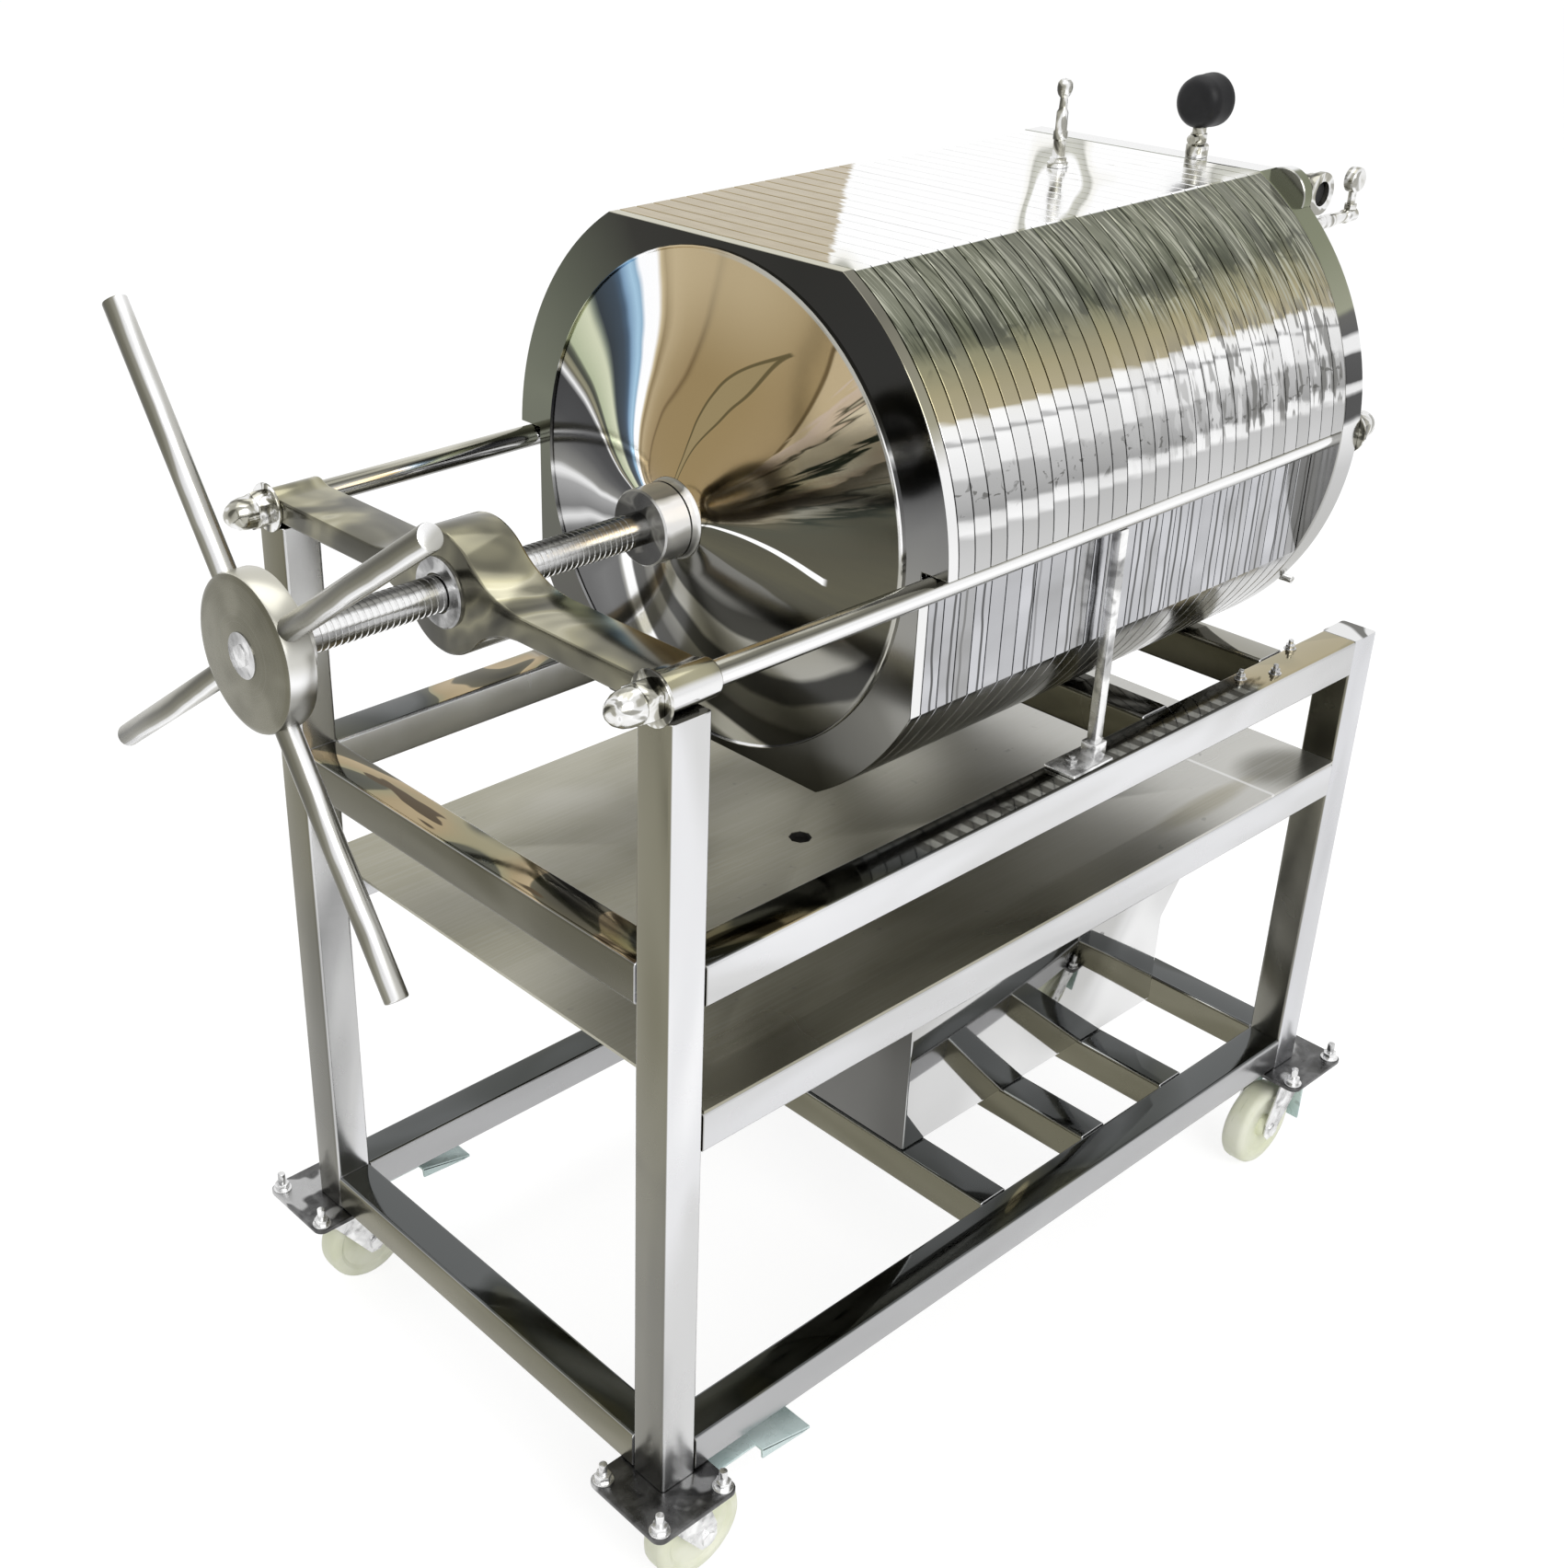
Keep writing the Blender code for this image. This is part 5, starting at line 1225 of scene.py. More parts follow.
class FILTERPRESS_OT_crossbeam(PressStep, bpy.types.Operator):
    """The arched crossbeam that holds the screw"""

    bl_idname = "filter_press.crossbeam"
    bl_label = "Crossbeam"

    def execute(self, context):
        low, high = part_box("crossbeam")
        boss = (high.z - low.z) / 2
        arm, blend, eye, eye_blend = 0.011, 0.09, 0.0155, 0.03
        eye_y = (high.y - low.y) / 2 - eye
        boss_blend_y = math.sqrt((blend + boss) ** 2 - (arm + blend) ** 2)
        eye_blend_y = eye_y - math.sqrt((eye + eye_blend) ** 2 - (arm + eye_blend) ** 2)
        mesh = bmesh.new()
        # A quarter of the outline, from the eye's end to the top of the boss
        turn = math.atan2(arm + eye_blend, eye_blend_y - eye_y)
        last = self.arc(mesh, mesh.verts.new((0, eye_y + eye, 0)), (0, eye_y, 0), turn, 14)
        last = self.arc(mesh, last, (0, eye_blend_y, arm + eye_blend), math.pi / 2 - turn, 6)
        first = mesh.verts.new((0, boss_blend_y, arm))
        mesh.edges.new((last, first))
        turn = math.atan2(arm + blend, boss_blend_y)
        last = self.arc(mesh, first, (0, boss_blend_y, arm + blend), turn - math.pi / 2, 12)
        self.arc(mesh, last, (0, 0, 0), math.pi / 2 - turn, 10)
        for axis in ("Y", "Z"):
            bmesh.ops.mirror(
                mesh, geom=mesh.verts[:] + mesh.edges[:], matrix=Matrix.Identity(4),
                merge_dist=1e-5, axis=axis)
        bmesh.ops.remove_doubles(mesh, verts=mesh.verts, dist=1e-5)
        bmesh.ops.edgeloop_fill(mesh, edges=mesh.edges[:])
        thicken(mesh, mesh.faces[:], (high.x - low.x, 0, 0))
        bmesh.ops.translate(mesh, vec=(low.x, MIDDLE_Y, AXIS_Z), verts=mesh.verts)
        ease(mesh, mesh.verts[:], 0.0028, steps=3, sharper=50)
        finish_piece("beam", mesh, beam_steel("beam_steel"), ["crossbeam"])
        mesh = bmesh.new()
        for place_x, way in ((high.x, 1), (low.x, -1)):
            foot = Vector((place_x - way * 0.002, MIDDLE_Y, AXIS_Z))
            profile = [
                (0.0, 0.017), (0.0, 0.03), (0.0045, 0.03), (0.006, 0.0285), (0.006, 0.017),
                (0.0, 0.017)]
            lathe(mesh, profile, foot, foot + Vector((way, 0, 0)), steps=48)
        finish_piece("beam_nut_rings", mesh, zinc("nut_ring_steel", 0.34, 0.2), slot=None)
        return {"FINISHED"}

    def arc(self, mesh, start, centre, angle, steps):
        """Draws an arc across X from a point and gives its far end."""
        swept = bmesh.ops.spin(
            mesh, geom=[start], cent=centre, axis=(1, 0, 0), angle=angle, steps=steps)
        return next(item for item in swept["geom_last"] if isinstance(item, bmesh.types.BMVert))


class FILTERPRESS_OT_tie_bars(PressStep, bpy.types.Operator):
    """Tie bars with domed nuts, and the square legs under them"""

    bl_idname = "filter_press.tie_bars"
    bl_label = "Tie bars"

    def execute(self, context):
        steel = turned_bar("bar_steel")
        nut_steel = polished_steel("nut_steel", scale=40.0)
        leg_steel = zinc("leg_steel", 0.88, 0.25)
        beam_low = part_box("crossbeam")[0].x
        for side, y in BAR_Y.items():
            low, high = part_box("tie_bar_" + side)
            mesh = bmesh.new()
            bar(
                mesh, (beam_low - 0.002, y, AXIS_Z), (REAR_HIGH.x + 0.002, y, AXIS_Z), BAR_RADIUS,
                sides=40)
            finish_piece(f"tie_rod_{side}", mesh, steel, ["tie_bar_" + side], smooth=32)
            mesh = bmesh.new()
            for foot, way, tip in ((beam_low, -1, low.x), (REAR_HIGH.x, 1, high.x)):
                self.dome_nut(mesh, Vector((foot + way * 0.0002, y, AXIS_Z)), way, abs(tip - foot))
            finish_piece(f"dome_nuts_{side}", mesh, nut_steel)
            self.leg(side, leg_steel)
        return {"FINISHED"}

    def dome_nut(self, mesh, start, way, length):
        top = nut(mesh, start, (way, 0, 0), 0.031, 0.015, washer=0.003)
        reach = length - abs(top.x - start.x) - 0.0002
        dome = [
            (0.0, 0.0148), (0.3, 0.0146), (0.55, 0.0132), (0.78, 0.0098), (0.93, 0.0052),
            (1.0, 0.0)]
        lathe(mesh, [(0.0, 0.0)] + [(share * reach, radius) for share, radius in dome], top,
              top + Vector((way, 0, 0)), steps=36)

    def leg(self, side, steel):
        low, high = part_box("leg_" + side)
        x, y = high.x - 0.0085, (low.y + high.y) / 2
        mesh = bmesh.new()
        block(mesh, low, (high.x, high.y, low.z + 0.004), 0.0012)
        block(
            mesh, (x - 0.0085, y - 0.0085, low.z + 0.0035),
            (x + 0.0085, y + 0.0085, low.z + 0.018), 0.0016)
        block(mesh, (x - 0.0055, y - 0.005, low.z + 0.016), (x + 0.0055, y + 0.005, high.z), 0.0012)
        stud_and_nut(mesh, (low.x + 0.018, y, low.z + 0.004), UP, 0.003, 0.003)
        finish_piece(f"leg_bar_{side}", mesh, steel, ["leg_" + side], slot="zinc_steel", smooth=32)


class FILTERPRESS_OT_spindle(PressStep, bpy.types.Operator):
    """The threaded screw, its hub and the four spokes"""

    bl_idname = "filter_press.spindle"
    bl_label = "Screw and hand wheel"

    def execute(self, context):
        self.screw()
        low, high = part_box("hub")
        rim = (high.z - low.z) / 2
        self.hub(low, high, rim)
        paint = turned_spoke("spoke_steel")
        for number in range(1, 5):
            low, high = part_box(f"spoke_{number}")
            middle = (low + high) / 2
            out = Vector((0, middle.y - MIDDLE_Y, middle.z - AXIS_Z)).normalized()
            centre = Vector((middle.x, MIDDLE_Y, AXIS_Z))
            mesh = bmesh.new()
            bar(
                mesh, centre + out * (rim - 0.004), centre + out * SPOKE_REACH, SPOKE_RADIUS,
                sides=32, chamfer=0.0016)
            finish_piece(
                f"spoke_rod_{number}", mesh, paint, [f"spoke_{number}"], body="spindle", smooth=35)
        return {"FINISHED"}

    def screw(self):
        low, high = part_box("screw")
        crest = (high.z - low.z) / 2
        step = self.sizes.thread_pitch
        root = crest - self.sizes.thread_depth
        mesh = bmesh.new()
        bar(mesh, (low.x, MIDDLE_Y, AXIS_Z), (high.x, MIDDLE_Y, AXIS_Z), root, sides=32)
        turns = int((high.x - low.x - 0.03) / step)
        start = low.x + 0.014
        profile = [
            (0.0, root - 0.0006), (0.1 * step, crest), (0.62 * step, crest),
            (0.72 * step, root - 0.0006)]
        points = [mesh.verts.new((start + x, MIDDLE_Y, AXIS_Z + radius)) for x, radius in profile]
        edges = [mesh.edges.new((points[i], points[(i + 1) % 4])) for i in range(4)]
        around = 24
        wound = bmesh.ops.spin(
            mesh, geom=points + edges, cent=(start, MIDDLE_Y, AXIS_Z), axis=(1, 0, 0),
            dvec=(step / around, 0, 0), angle=math.tau * turns, steps=around * turns)
        ends = [item for item in wound["geom_last"] if isinstance(item, bmesh.types.BMEdge)]
        bmesh.ops.edgeloop_fill(mesh, edges=edges)
        bmesh.ops.edgeloop_fill(mesh, edges=ends)
        finish_piece(
            "threaded_screw", mesh, screw_steel("screw_steel"), ["screw"], body="spindle",
            smooth=40)

    def hub(self, low, high, rim):
        foot, tip = Vector((low.x, MIDDLE_Y, AXIS_Z)), Vector((high.x, MIDDLE_Y, AXIS_Z))
        length = high.x - low.x
        face = 0.003
        profile = [
            (face, 0.0), (face, rim - 0.006), (face + 0.0006, rim - 0.003),
            (face + 0.002, rim - 0.0008), (face + 0.004, rim), (0.026, rim),
            (0.0285, rim - 0.0008), (0.03, rim - 0.004), (0.0305, 0.038), (0.033, 0.0345),
            (length - 0.001, 0.0335), (length, 0.0325), (length, 0.0)]
        spun_piece(
            "hub_disc", profile, foot, tip, 72, hub_steel("hub_steel"), ["hub"], body="spindle")
        mesh = bmesh.new()
        seat = foot + Vector((face + 0.0002, 0, 0))
        lathe(
            mesh, [(0.0, 0.0), (0.0, 0.0185), (0.001, 0.0185), (0.0014, 0.0178), (0.0014, 0.0)],
            seat, seat - REARWARD, steps=40)
        nut(mesh, seat - Vector((0.0012, 0, 0)), (-1, 0, 0), 0.017, 0.0019)
        finish_piece(
            "hub_washer", mesh, zinc("hub_washer_steel", 0.5, 0.2), body="spindle", slot=None)


class FILTERPRESS_OT_fittings(PressStep, bpy.types.Operator):
    """Gauge, vent valve, outlet elbow and the two cocks"""

    bl_idname = "filter_press.fittings"
    bl_label = "Fittings"

    def execute(self, context):
        bright = polished_steel("fitting_steel", scale=30.0, dark=-0.05)
        self.gauge(bright)
        self.vent(bright)
        self.outlet(bright)
        self.outlet_cock(bright)
        self.drain_cock(bright)
        return {"FINISHED"}

    def gauge(self, bright):
        low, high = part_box("gauge")
        radius, depth = (high.y - low.y) / 2, high.x - low.x
        middle = Vector(((low.x + high.x) / 2, (low.y + high.y) / 2, high.z - radius))
        back = Vector((low.x, middle.y, middle.z))
        profile = [
            (0.0, 0.0), (0.0, radius * 0.62), (0.0015, radius * 0.78), (0.006, radius * 0.93),
            (0.012, radius * 0.985), (depth - 0.007, radius * 0.985), (depth - 0.006, radius),
            (depth - 0.001, radius), (depth, radius * 0.96), (depth, radius * 0.9),
            (depth - 0.003, radius * 0.87), (depth - 0.003, 0.0)]
        spun_piece(
            "gauge_case", profile, back, back + REARWARD, 56,
            gloss_black("gauge_black", self.colours), ["gauge"], slot="black_plastic")
        mesh = bmesh.new()
        face = back + Vector((depth - 0.0029, 0, 0))
        lathe(
            mesh, [(0.0, 0.0), (0.0, radius * 0.86), (0.0008, radius * 0.86), (0.0008, 0.0)],
            face, face + REARWARD, steps=48)
        finish_piece("gauge_dial", mesh, dial_face("dial_white", middle, radius), slot=None)
        mesh = bmesh.new()
        hand = face + Vector((0.001, 0, 0))
        slab(
            mesh, [(-0.0011, -0.005), (0.0011, -0.005), (0.0003, radius * 0.68),
            (-0.0003, radius * 0.68)], 0.0005, Matrix.Translation(hand) @ Matrix.Rotation(2.3, 4,
            "X") @ ACROSS @ Matrix.Rotation(math.pi / 2, 4, "Z"))
        bar(mesh, hand, hand + Vector((0.0011, 0, 0)), 0.002, sides=20)
        finish_piece(
            "gauge_hand", mesh, rubber("hand_black", (0.012, 0.012, 0.012)), slot=None, smooth=32)
        mesh = bmesh.new()
        foot = Vector((middle.x, middle.y, low.z))
        stem = [
            (0.0, 0.0), (0.0, 0.0104), (0.003, 0.0108), (0.0105, 0.0108), (0.012, 0.0092),
            (0.012, 0.0068), (0.03, 0.0064), (0.03, 0.0)]
        lathe(mesh, stem, foot, foot + UP, steps=28)
        nut(mesh, foot + Vector((0, 0, 0.0135)), UP, 0.0155, 0.008)
        side = foot + Vector((0, 0, 0.0175))
        bar(mesh, side, side + Vector((-0.0155, -0.002, 0.0)), 0.0046, sides=24, chamfer=0.0006)
        finish_piece("gauge_stem", mesh, bright)

    def vent(self, bright):
        low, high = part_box("vent_valve")
        foot = Vector(((low.x + high.x) / 2, (low.y + high.y) / 2, low.z))
        tall = high.z - low.z
        shape = [
            (0.0, 0.0), (0.0, 0.0098), (0.05, 0.0098), (0.06, 0.008), (0.1, 0.008), (0.11, 0.006),
            (0.3, 0.0058), (0.32, 0.0068), (0.4, 0.0068), (0.42, 0.0056), (0.62, 0.0056),
            (0.66, 0.004), (0.78, 0.0036), (0.82, 0.0062), (0.86, 0.0072), (0.9, 0.0074),
            (0.95, 0.0068), (0.985, 0.0045), (1.0, 0.0)]
        mesh = bmesh.new()
        lathe(mesh, [(share * tall, radius) for share, radius in shape], foot, foot + UP, steps=32)
        finish_piece("vent_body", mesh, bright, ["vent_valve"])

    def outlet(self, bright):
        low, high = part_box("outlet_elbow")
        radius = (high.z - low.z) / 2
        bend = PORT.y - low.y
        tube = radius * 0.86
        mesh = bmesh.new()
        # A bend from the rear head towards the mouth, spun from a ring
        ring = bmesh.ops.create_circle(
            mesh, cap_ends=False, radius=tube, segments=36,
            matrix=Matrix.Translation((low.x, PORT.y, PORT.z)) @ ACROSS)
        edges = list({edge for vert in ring["verts"] for edge in vert.link_edges})
        turn = bmesh.ops.spin(
            mesh, geom=ring["verts"] + edges, cent=(low.x, low.y, PORT.z), axis=(0, 0, 1),
            angle=-math.radians(62.0), steps=10)
        bmesh.ops.edgeloop_fill(mesh, edges=edges)
        last = [item for item in turn["geom_last"] if isinstance(item, bmesh.types.BMEdge)]
        bmesh.ops.edgeloop_fill(mesh, edges=last)
        finish_piece("outlet_bend", mesh, bright, ["outlet_elbow"], smooth=40)
        mouth = Vector((low.x + bend, low.y, PORT.z))
        bore, floor = 0.0115, 0.006
        profile = [
            (0.0, bore), (0.0, radius * 0.98), (0.0012, radius), (0.006, radius),
            (0.0075, radius * 0.97), (0.012, radius * 0.88), (0.016, radius * 0.86), (0.016, 0.0),
            (floor, 0.0), (floor, bore), (0.0, bore)]
        spun_piece("outlet_ferrule", profile, mouth, mouth + FARWARD, 48, bright)
        mesh = bmesh.new()
        lathe(mesh, [
            (floor - 0.0008, 0.0), (floor - 0.0008, bore - 0.0004), (floor, bore - 0.0002),
            (floor, 0.0)], mouth, mouth + FARWARD, steps=36)
        finish_piece(
            "outlet_throat", mesh, rubber("throat_black", (0.006, 0.006, 0.006)), slot=None)

    def outlet_cock(self, bright):
        low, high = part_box("outlet_cock")
        radius = 0.0068
        y, z = (low.y + high.y) / 2, low.z + radius
        foot = Vector((low.x, y, z))
        stem_x = high.x - 0.012
        reach = stem_x + 0.0075 - low.x
        mesh = bmesh.new()
        body = [
            (0.0, 0.0), (0.0, 0.0066), (0.006, 0.0068), (0.008, 0.0058), (0.03, 0.0056),
            (0.032, 0.0066), (0.046, 0.0066), (0.048, 0.0054), (reach - 0.018, 0.0054),
            (reach - 0.016, 0.0066), (reach - 0.001, 0.0066), (reach, 0.0058), (reach, 0.0)]
        lathe(mesh, body, foot, foot + REARWARD, steps=32)
        post = Vector((stem_x, y, z))
        bar(mesh, post, post + UP * 0.026, 0.0038, sides=20)
        nut(mesh, post + UP * 0.006, UP, 0.0112, 0.005)
        finish_piece("outlet_cock_body", mesh, bright, ["outlet_cock"])
        start = Vector((stem_x, y - 0.006, high.z - 0.012))
        knob = [
            (0.0, 0.0), (0.0, 0.0098), (0.0014, 0.0116), (0.0035, 0.0119), (0.0085, 0.0119),
            (0.0106, 0.0116), (0.012, 0.0098), (0.012, 0.0)]
        spun_piece("outlet_cock_knob", knob, start, start + FARWARD, 40, bright)

    def drain_cock(self, bright):
        low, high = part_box("drain_cock")
        radius = (high.z - low.z) / 2
        foot = Vector((low.x, high.y - radius, (low.z + high.z) / 2))
        reach = high.x - low.x
        mesh = bmesh.new()
        body = [
            (0.0, 0.0), (0.0, radius), (0.005, radius), (0.006, radius * 0.72),
            (0.018, radius * 0.7), (0.019, radius * 0.92), (reach - 0.001, radius * 0.92),
            (reach, radius * 0.82), (reach, 0.0)]
        lathe(mesh, body, foot, foot + REARWARD, steps=32)
        joint = foot + Vector((0.012, 0, 0))
        grip = Vector((joint.x, low.y, joint.z))
        bar(mesh, joint, grip + Vector((0, 0.003, 0)), 0.003, sides=20)
        bar(mesh, grip, grip + Vector((0, 0.014, 0)), 0.0039, sides=20, chamfer=0.0012)
        finish_piece("drain_cock_body", mesh, bright, ["drain_cock"])


class FILTERPRESS_OT_casters(PressStep, bpy.types.Operator):
    """Swivel casters with brake pedals"""

    bl_idname = "filter_press.casters"
    bl_label = "Casters"

    def execute(self, context):
        plate_paint = zinc("caster_plate_zinc", 0.1, 0.3)
        stud_paint = zinc("stud_zinc", 0.72, 0.25)
        fork_paint = zinc("fork_zinc", 0.72, 0.3)
        wheel_paint = nylon("wheel_nylon", self.colours)
        pedal = pedal_paint("pedal_coat", self.colours)
        places = {
            joint["name"]: Vector(joint["pos_m"]) for joint in frame["joints"] if "pos_m" in joint}
        for corner in CORNERS:
            self.plate(corner, plate_paint, stud_paint)
            self.fork(
                corner, places["swivel_" + corner], places["roll_" + corner], fork_paint, pedal)
            self.wheel(corner, wheel_paint)
        return {"FINISHED"}

    def plate(self, corner, paint, stud_paint):
        low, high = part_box("caster_plate_" + corner)
        middle = (low + high) / 2
        mesh = bmesh.new()
        block(mesh, (low.x, low.y, high.z - 0.005), high)
        bevel(mesh, edges_along(mesh, 2), 0.01, 5)
        ease(mesh, mesh.verts[:], 0.0007, 2, sharper=60)
        foot = Vector((middle.x, middle.y, high.z - 0.0045))
        profile = [
            (0.0, 0.0), (0.0, 0.0235), (0.002, 0.0255), (0.006, 0.0262), (0.0083, 0.0255),
            (0.0083, 0.0)]
        lathe(mesh, profile, foot, foot - UP, steps=48)
        finish_piece(
            "top_plate_" + corner, mesh, paint, ["caster_plate_" + corner], slot="zinc_steel",
            smooth=35)
        mesh = bmesh.new()
        for x in (middle.x - BOLT_INSET, middle.x + BOLT_INSET):
            for y in (middle.y - BOLT_INSET, middle.y + BOLT_INSET):
                stud_and_nut(mesh, (x, y, high.z), UP, self.sizes.stud, 0.012)
        finish_piece("plate_studs_" + corner, mesh, stud_paint, slot="zinc_steel")

    def fork(self, corner, swivel, axle, paint, pedal):
        body = "caster_" + corner
        way = 1.0 if axle.x > swivel.x else -1.0
        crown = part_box("caster_plate_" + corner)[0].z - 0.0003
        trail = abs(axle.x - swivel.x)
        inner, sheet = 0.0195, 0.003
        turn = Matrix.Translation((swivel.x, swivel.y, 0)) @ Matrix.Diagonal((way, 1, 1, 1))
        mesh = bmesh.new()
        foot = Vector((0, 0, crown))
        lathe(
            mesh, [(0.0, 0.0), (0.0, 0.0255), (0.0012, 0.0258), (0.003, 0.0255), (0.003, 0.0)],
            foot, foot - UP, steps=48)
        outline = [
            (-0.0205, crown - 0.003), (0.03, crown - 0.003), (trail + 0.012, axle.z + 0.012),
            (trail + 0.0125, axle.z - 0.004), (trail + 0.006, axle.z - 0.0125),
            (trail - 0.006, axle.z - 0.0125), (trail - 0.0125, axle.z - 0.004),
            (-0.012, crown - 0.02), (-0.0205, crown - 0.012)]
        for y in (-inner - sheet, inner):
            matrix = Matrix.Translation((0, y + sheet, 0)) @ STANDING
            slab(mesh, outline, sheet, matrix, rounding=0.0009)
        block(
            mesh, (-0.021, -inner - sheet, crown - 0.0032),
            (0.031, inner + sheet, crown - 0.0006), 0.0009)
        for sign in (-1, 1):
            nut(mesh, (trail, sign * (inner + sheet - 0.0002), axle.z), (0, sign, 0), 0.014, 0.003)
        bar(mesh, (trail, -inner - sheet, axle.z), (trail, inner + sheet, axle.z), 0.0058, sides=24)
        bmesh.ops.transform(mesh, matrix=turn, verts=mesh.verts)
        finish_piece(
            "fork_shell_" + corner, mesh, paint, ["fork_" + corner], body=body, slot="zinc_steel",
            smooth=35)
        mesh = bmesh.new()
        if corner.startswith("front"):
            self.raised_pedal(mesh, crown - 0.003)
        else:
            self.hanging_pedal(mesh, crown)
        bmesh.ops.transform(mesh, matrix=turn, verts=mesh.verts)
        finish_piece("brake_pedal_" + corner, mesh, pedal, body=body, slot="zinc_steel", smooth=35)

    def raised_pedal(self, mesh, level):
        """An arm from the crown and a sloping pad with a skirt at each side."""
        start, end, fall = 0.104, 0.1675, 0.0135
        arm = [
            (0.026, level), (start + 0.002, level), (start + 0.002, level + 0.003),
            (0.026, level + 0.0027)]
        pad = [
            (start, level), (end, level - fall), (end, level + 0.0035 - fall),
            (start, level + 0.0036)]
        skirt = [
            (start, level + 0.003), (start + 0.001, level - 0.0095), (end - 0.006, level - fall),
            (end, level + 0.002 - fall)]
        for points, low, high in (
            (arm, -0.013, 0.013), (pad, -0.022, 0.022), (skirt, -0.022, -0.0192),
            (skirt, 0.0192, 0.022)):
            matrix = Matrix.Translation((0, high, 0)) @ STANDING
            slab(mesh, points, high - low, matrix, rounding=0.0007)

    def hanging_pedal(self, mesh, crown):
        """A plate that hangs behind the wheel from a short arm."""
        block(mesh, (-0.0244, -0.013, crown - 0.0029), (-0.011, 0.013, crown - 0.0007), 0.0006)
        block(mesh, (-0.0244, -0.0219, crown - 0.0778), (-0.0216, 0.0219, crown - 0.0007), 0.001)

    def wheel(self, corner, paint):
        low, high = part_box("wheel_" + corner)
        middle = (low + high) / 2
        radius = (high.z - low.z) / 2
        half, hub = 0.014, (high.y - low.y) / 2
        profile = [
            (-hub, 0.0068), (-hub, 0.0112), (-hub + 0.001, 0.0122), (-half + 0.004, 0.0138),
            (-half + 0.0032, 0.016), (-half + 0.003, 0.035), (-half + 0.001, 0.0375),
            (-half, 0.0392), (-half, radius - 0.006), (-half + 0.0012, radius - 0.003),
            (-half + 0.004, radius - 0.0007), (-half + 0.0075, radius)]
        profile += [(-across, rise) for across, rise in reversed(profile)]
        profile.append(profile[0])
        spun_piece(
            "nylon_wheel_" + corner, profile, middle, middle + FARWARD, 64, paint,
            ["wheel_" + corner], body="roller_" + corner, slot="nylon")


class FILTERPRESS_OT_small_parts(PressStep, bpy.types.Operator):
    """Pads under the rear head and the studs on the rails"""

    bl_idname = "filter_press.small_parts"
    bl_label = "Small parts"

    def execute(self, context):
        pad = zinc("pad_zinc", 0.45, 0.28)
        for side in SIDES:
            low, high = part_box("rear_foot_" + side)
            mesh = bmesh.new()
            block(mesh, low, high, 0.001)
            finish_piece(
                "foot_pad_" + side, mesh, pad, ["rear_foot_" + side], slot="zinc_steel", smooth=32)
        mesh = bmesh.new()
        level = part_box("upper_rail_near")[1].z
        for along_x, inset in ((0.793, 0.0275), (0.83, 0.012), (0.8935, 0.0357)):
            for way, edge_y in ((1, CORNER.y), (-1, 2 * MIDDLE_Y - CORNER.y)):
                stud_and_nut(
                    mesh, (CORNER.x + along_x, edge_y + way * inset, level), UP, 0.0026, 0.005)
        finish_piece("rail_studs", mesh, zinc("rail_stud_zinc", 0.55, 0.25), slot="zinc_steel")
        return {"FINISHED"}


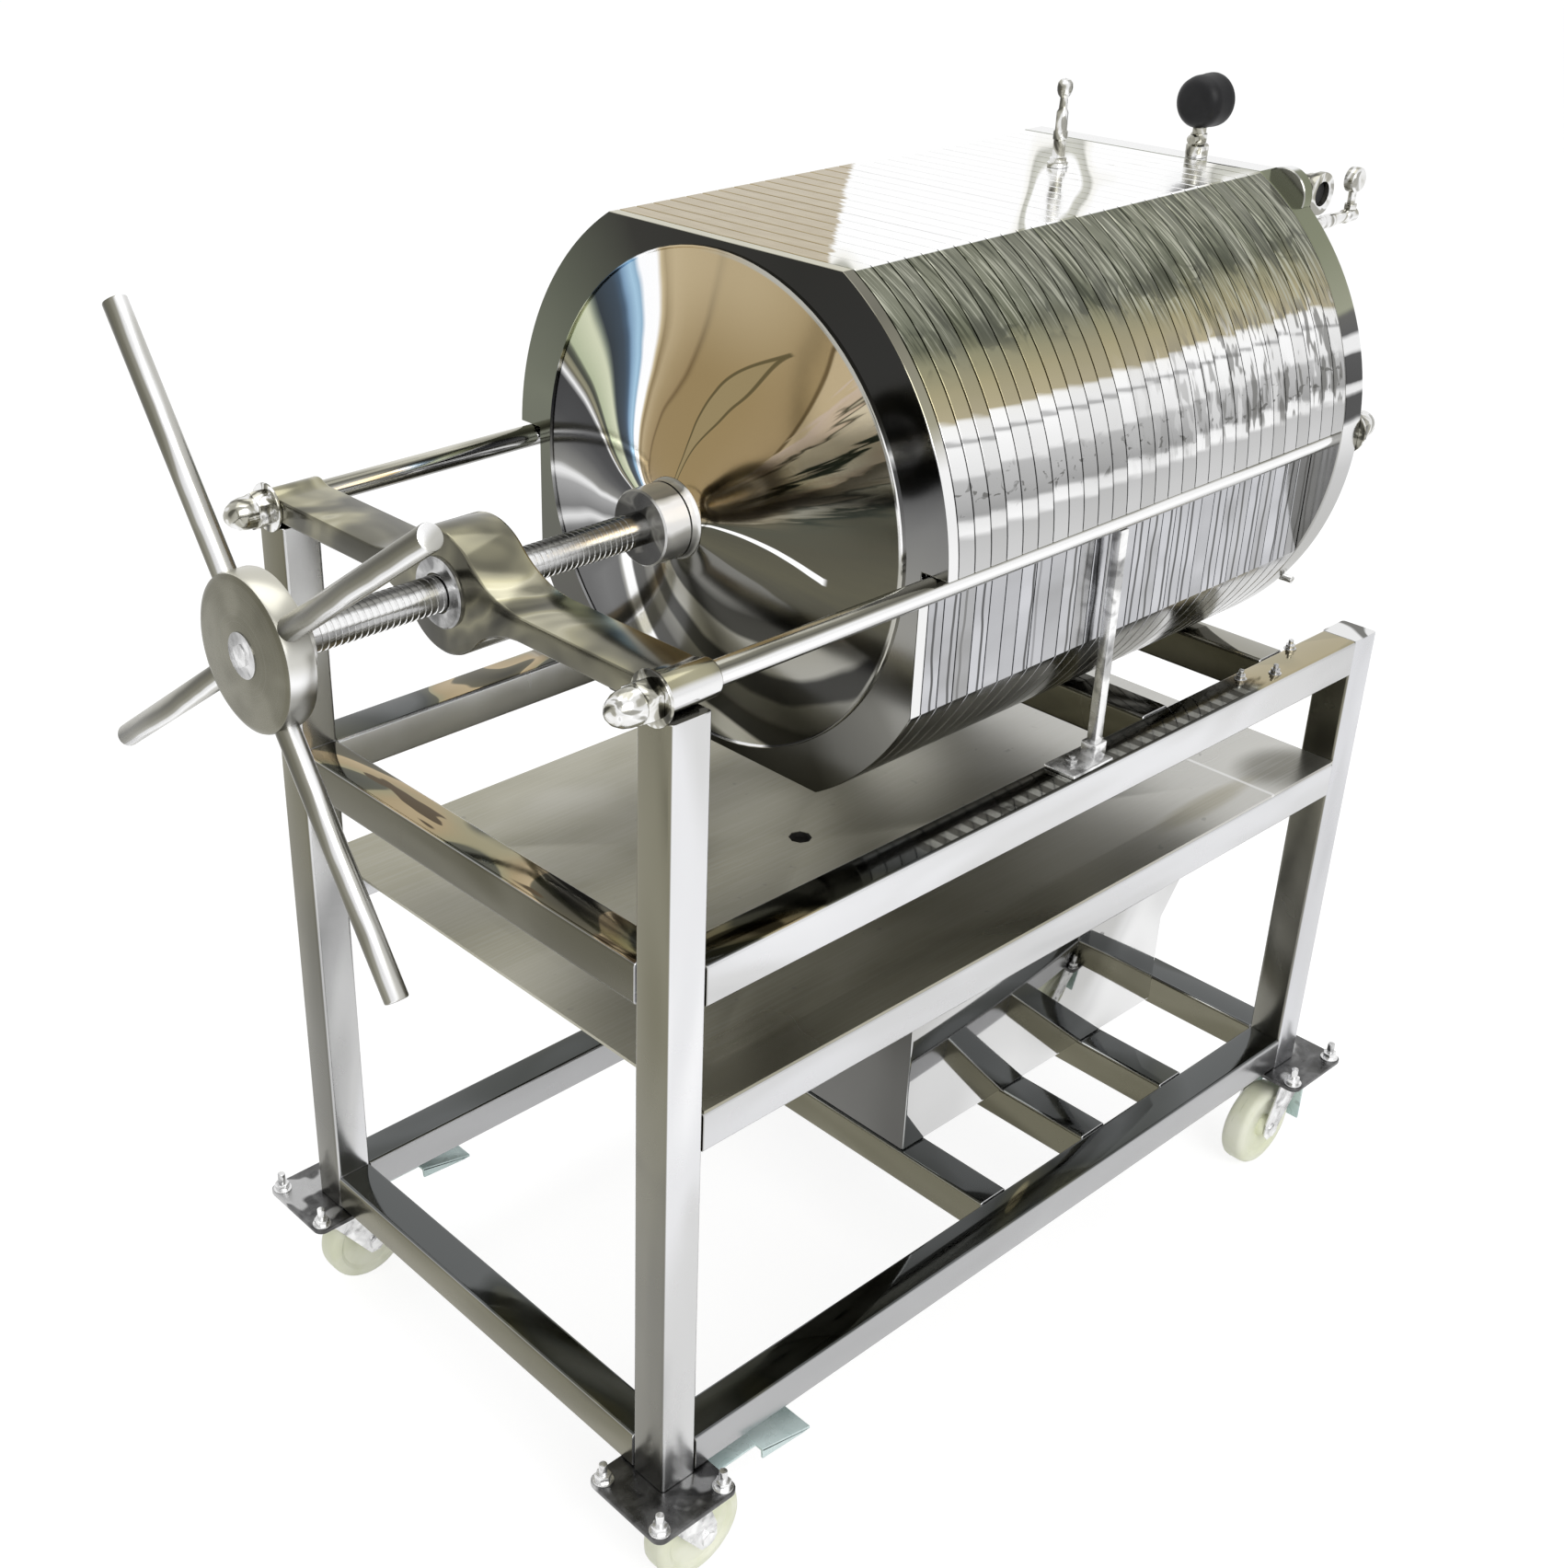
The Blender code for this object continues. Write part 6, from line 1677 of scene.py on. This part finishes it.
class FILTERPRESS_OT_stage(PressStep, bpy.types.Operator):
    """Pale floor, soft light and the camera"""

    bl_idname = "filter_press.stage"
    bl_label = "Studio"

    def execute(self, context):
        scene = context.scene
        mesh = bmesh.new()
        bmesh.ops.create_circle(mesh, cap_ends=True, radius=self.sizes.floor_reach, segments=96)
        data = bpy.data.meshes.new("studio_floor")
        mesh.to_mesh(data)
        mesh.free()
        data.materials.append(self.floor_paint())
        floor = bpy.data.objects.new("studio_floor", data)
        floor.location.z = -0.0005
        scene.collection.objects.link(floor)
        self.world(scene)
        self.lamps(scene)
        self.camera(scene)
        scene.view_settings.view_transform = "Standard"
        return {"FINISHED"}

    def seen(self, tree):
        """One where a camera, glossy or transmission ray arrives, and nought elsewhere."""
        ways = tree.nodes.new("ShaderNodeLightPath")
        result = ways.outputs["Is Camera Ray"]
        for kind in ("Is Glossy Ray", "Is Transmission Ray"):
            most = tree.nodes.new("ShaderNodeMath")
            most.operation = "MAXIMUM"
            tree.links.new(result, most.inputs[0])
            tree.links.new(ways.outputs[kind], most.inputs[1])
            result = most.outputs[0]
        return result

    def floor_paint(self):
        """Plain to the light, and white to the eye with a faint shadow."""
        paint = bpy.data.materials.new("floor_paint")
        paint.use_nodes = True
        tree = paint.node_tree
        tree.nodes.clear()
        plain = tree.nodes.new("ShaderNodeBsdfDiffuse")
        plain.inputs["Color"].default_value = (*self.colours.floor, 1.0)
        faint = tree.nodes.new("ShaderNodeBsdfDiffuse")
        faint.inputs["Color"].default_value = (0.36, 0.36, 0.36, 1.0)
        glow = tree.nodes.new("ShaderNodeEmission")
        glow.inputs["Strength"].default_value = 0.8
        both = tree.nodes.new("ShaderNodeAddShader")
        tree.links.new(faint.outputs[0], both.inputs[0])
        tree.links.new(glow.outputs[0], both.inputs[1])
        choice = tree.nodes.new("ShaderNodeMixShader")
        tree.links.new(self.seen(tree), choice.inputs[0])
        tree.links.new(plain.outputs[0], choice.inputs[1])
        tree.links.new(both.outputs[0], choice.inputs[2])
        output = tree.nodes.new("ShaderNodeOutputMaterial")
        tree.links.new(choice.outputs[0], output.inputs["Surface"])
        return paint

    def world(self, scene):
        world = bpy.data.worlds.new("studio_white")
        world.use_nodes = True
        tree = world.node_tree
        tree.nodes.clear()
        strength = tree.nodes.new("ShaderNodeMapRange")
        strength.inputs["To Min"].default_value = 0.58
        strength.inputs["To Max"].default_value = 1.0
        tree.links.new(self.seen(tree), strength.inputs["Value"])
        background = tree.nodes.new("ShaderNodeBackground")
        background.inputs["Color"].default_value = (1.0, 1.0, 1.0, 1.0)
        tree.links.new(strength.outputs[0], background.inputs["Strength"])
        output = tree.nodes.new("ShaderNodeOutputWorld")
        tree.links.new(background.outputs[0], output.inputs["Surface"])
        scene.world = world

    def lamps(self, scene):
        aim = Vector((0.0, 0.0, 0.6))
        for name, spot, power, size in (("soft_key", (-1.5, -4.5, 4.0), 130.0, 3.5),
                                        ("soft_top", (0.5, 0.5, 5.5), 60.0, 4.0)):
            light = bpy.data.lights.new(name, "AREA")
            light.energy = power
            light.size = size
            lamp = bpy.data.objects.new(name, light)
            lamp.location = spot
            lamp.rotation_mode = "QUATERNION"
            lamp.rotation_quaternion = (aim - Vector(spot)).to_track_quat("-Z", "Y")
            scene.collection.objects.link(lamp)

    def camera(self, scene):
        data = bpy.data.cameras.new("photo_view")
        data.sensor_width = 36.0
        data.lens = 45.84
        data.shift_x = 190.0 / 1704.0
        data.shift_y = 6.0 / 1704.0
        data.clip_start, data.clip_end = 0.05, 200.0
        camera = bpy.data.objects.new("photo_view", data)
        camera.location = CORNER + Vector((-0.85484, -0.92775, 1.40306))
        azimuth, elevation, roll = math.radians(-40.55), math.radians(28.62), math.radians(-0.236)
        turn = Matrix.Rotation(azimuth, 4, "Z") @ Matrix.Rotation(math.pi / 2 - elevation, 4, "X")
        camera.rotation_euler = (turn @ Matrix.Rotation(roll, 4, "Z")).to_euler()
        scene.collection.objects.link(camera)
        scene.camera = camera


STEPS = (
    FILTERPRESS_OT_frame,
    FILTERPRESS_OT_sheet_work,
    FILTERPRESS_OT_plates,
    FILTERPRESS_OT_heads,
    FILTERPRESS_OT_crossbeam,
    FILTERPRESS_OT_tie_bars,
    FILTERPRESS_OT_spindle,
    FILTERPRESS_OT_fittings,
    FILTERPRESS_OT_casters,
    FILTERPRESS_OT_small_parts,
    FILTERPRESS_OT_stage,
)


class FILTERPRESS_PT_panel(bpy.types.Panel):
    """Lists the steps that dress the press"""

    bl_idname = "FILTERPRESS_PT_panel"
    bl_label = "Filter Press"
    bl_space_type = "VIEW_3D"
    bl_region_type = "UI"
    bl_category = "Filter Press"

    def draw(self, context):
        layout = self.layout
        for group in (context.scene.filter_press_sizes, context.scene.filter_press_colours):
            box = layout.box()
            for key in type(group).__annotations__:
                box.prop(group, key)
        for step in STEPS:
            layout.operator(step.bl_idname)


CLASSES = (FilterPressSizes, FilterPressColours, *STEPS, FILTERPRESS_PT_panel)


def register():
    for entry in CLASSES:
        bpy.utils.register_class(entry)
    bpy.types.Scene.filter_press_sizes = PointerProperty(type=FilterPressSizes)
    bpy.types.Scene.filter_press_colours = PointerProperty(type=FilterPressColours)


def unregister():
    del bpy.types.Scene.filter_press_colours
    del bpy.types.Scene.filter_press_sizes
    for entry in reversed(CLASSES):
        bpy.utils.unregister_class(entry)


def main():
    register()
    bpy.ops.filter_press.frame()
    bpy.ops.filter_press.sheet_work()
    bpy.ops.filter_press.plates()
    bpy.ops.filter_press.heads()
    bpy.ops.filter_press.crossbeam()
    bpy.ops.filter_press.tie_bars()
    bpy.ops.filter_press.spindle()
    bpy.ops.filter_press.fittings()
    bpy.ops.filter_press.casters()
    bpy.ops.filter_press.small_parts()
    bpy.ops.filter_press.stage()


if __name__ == "__main__":
    main()
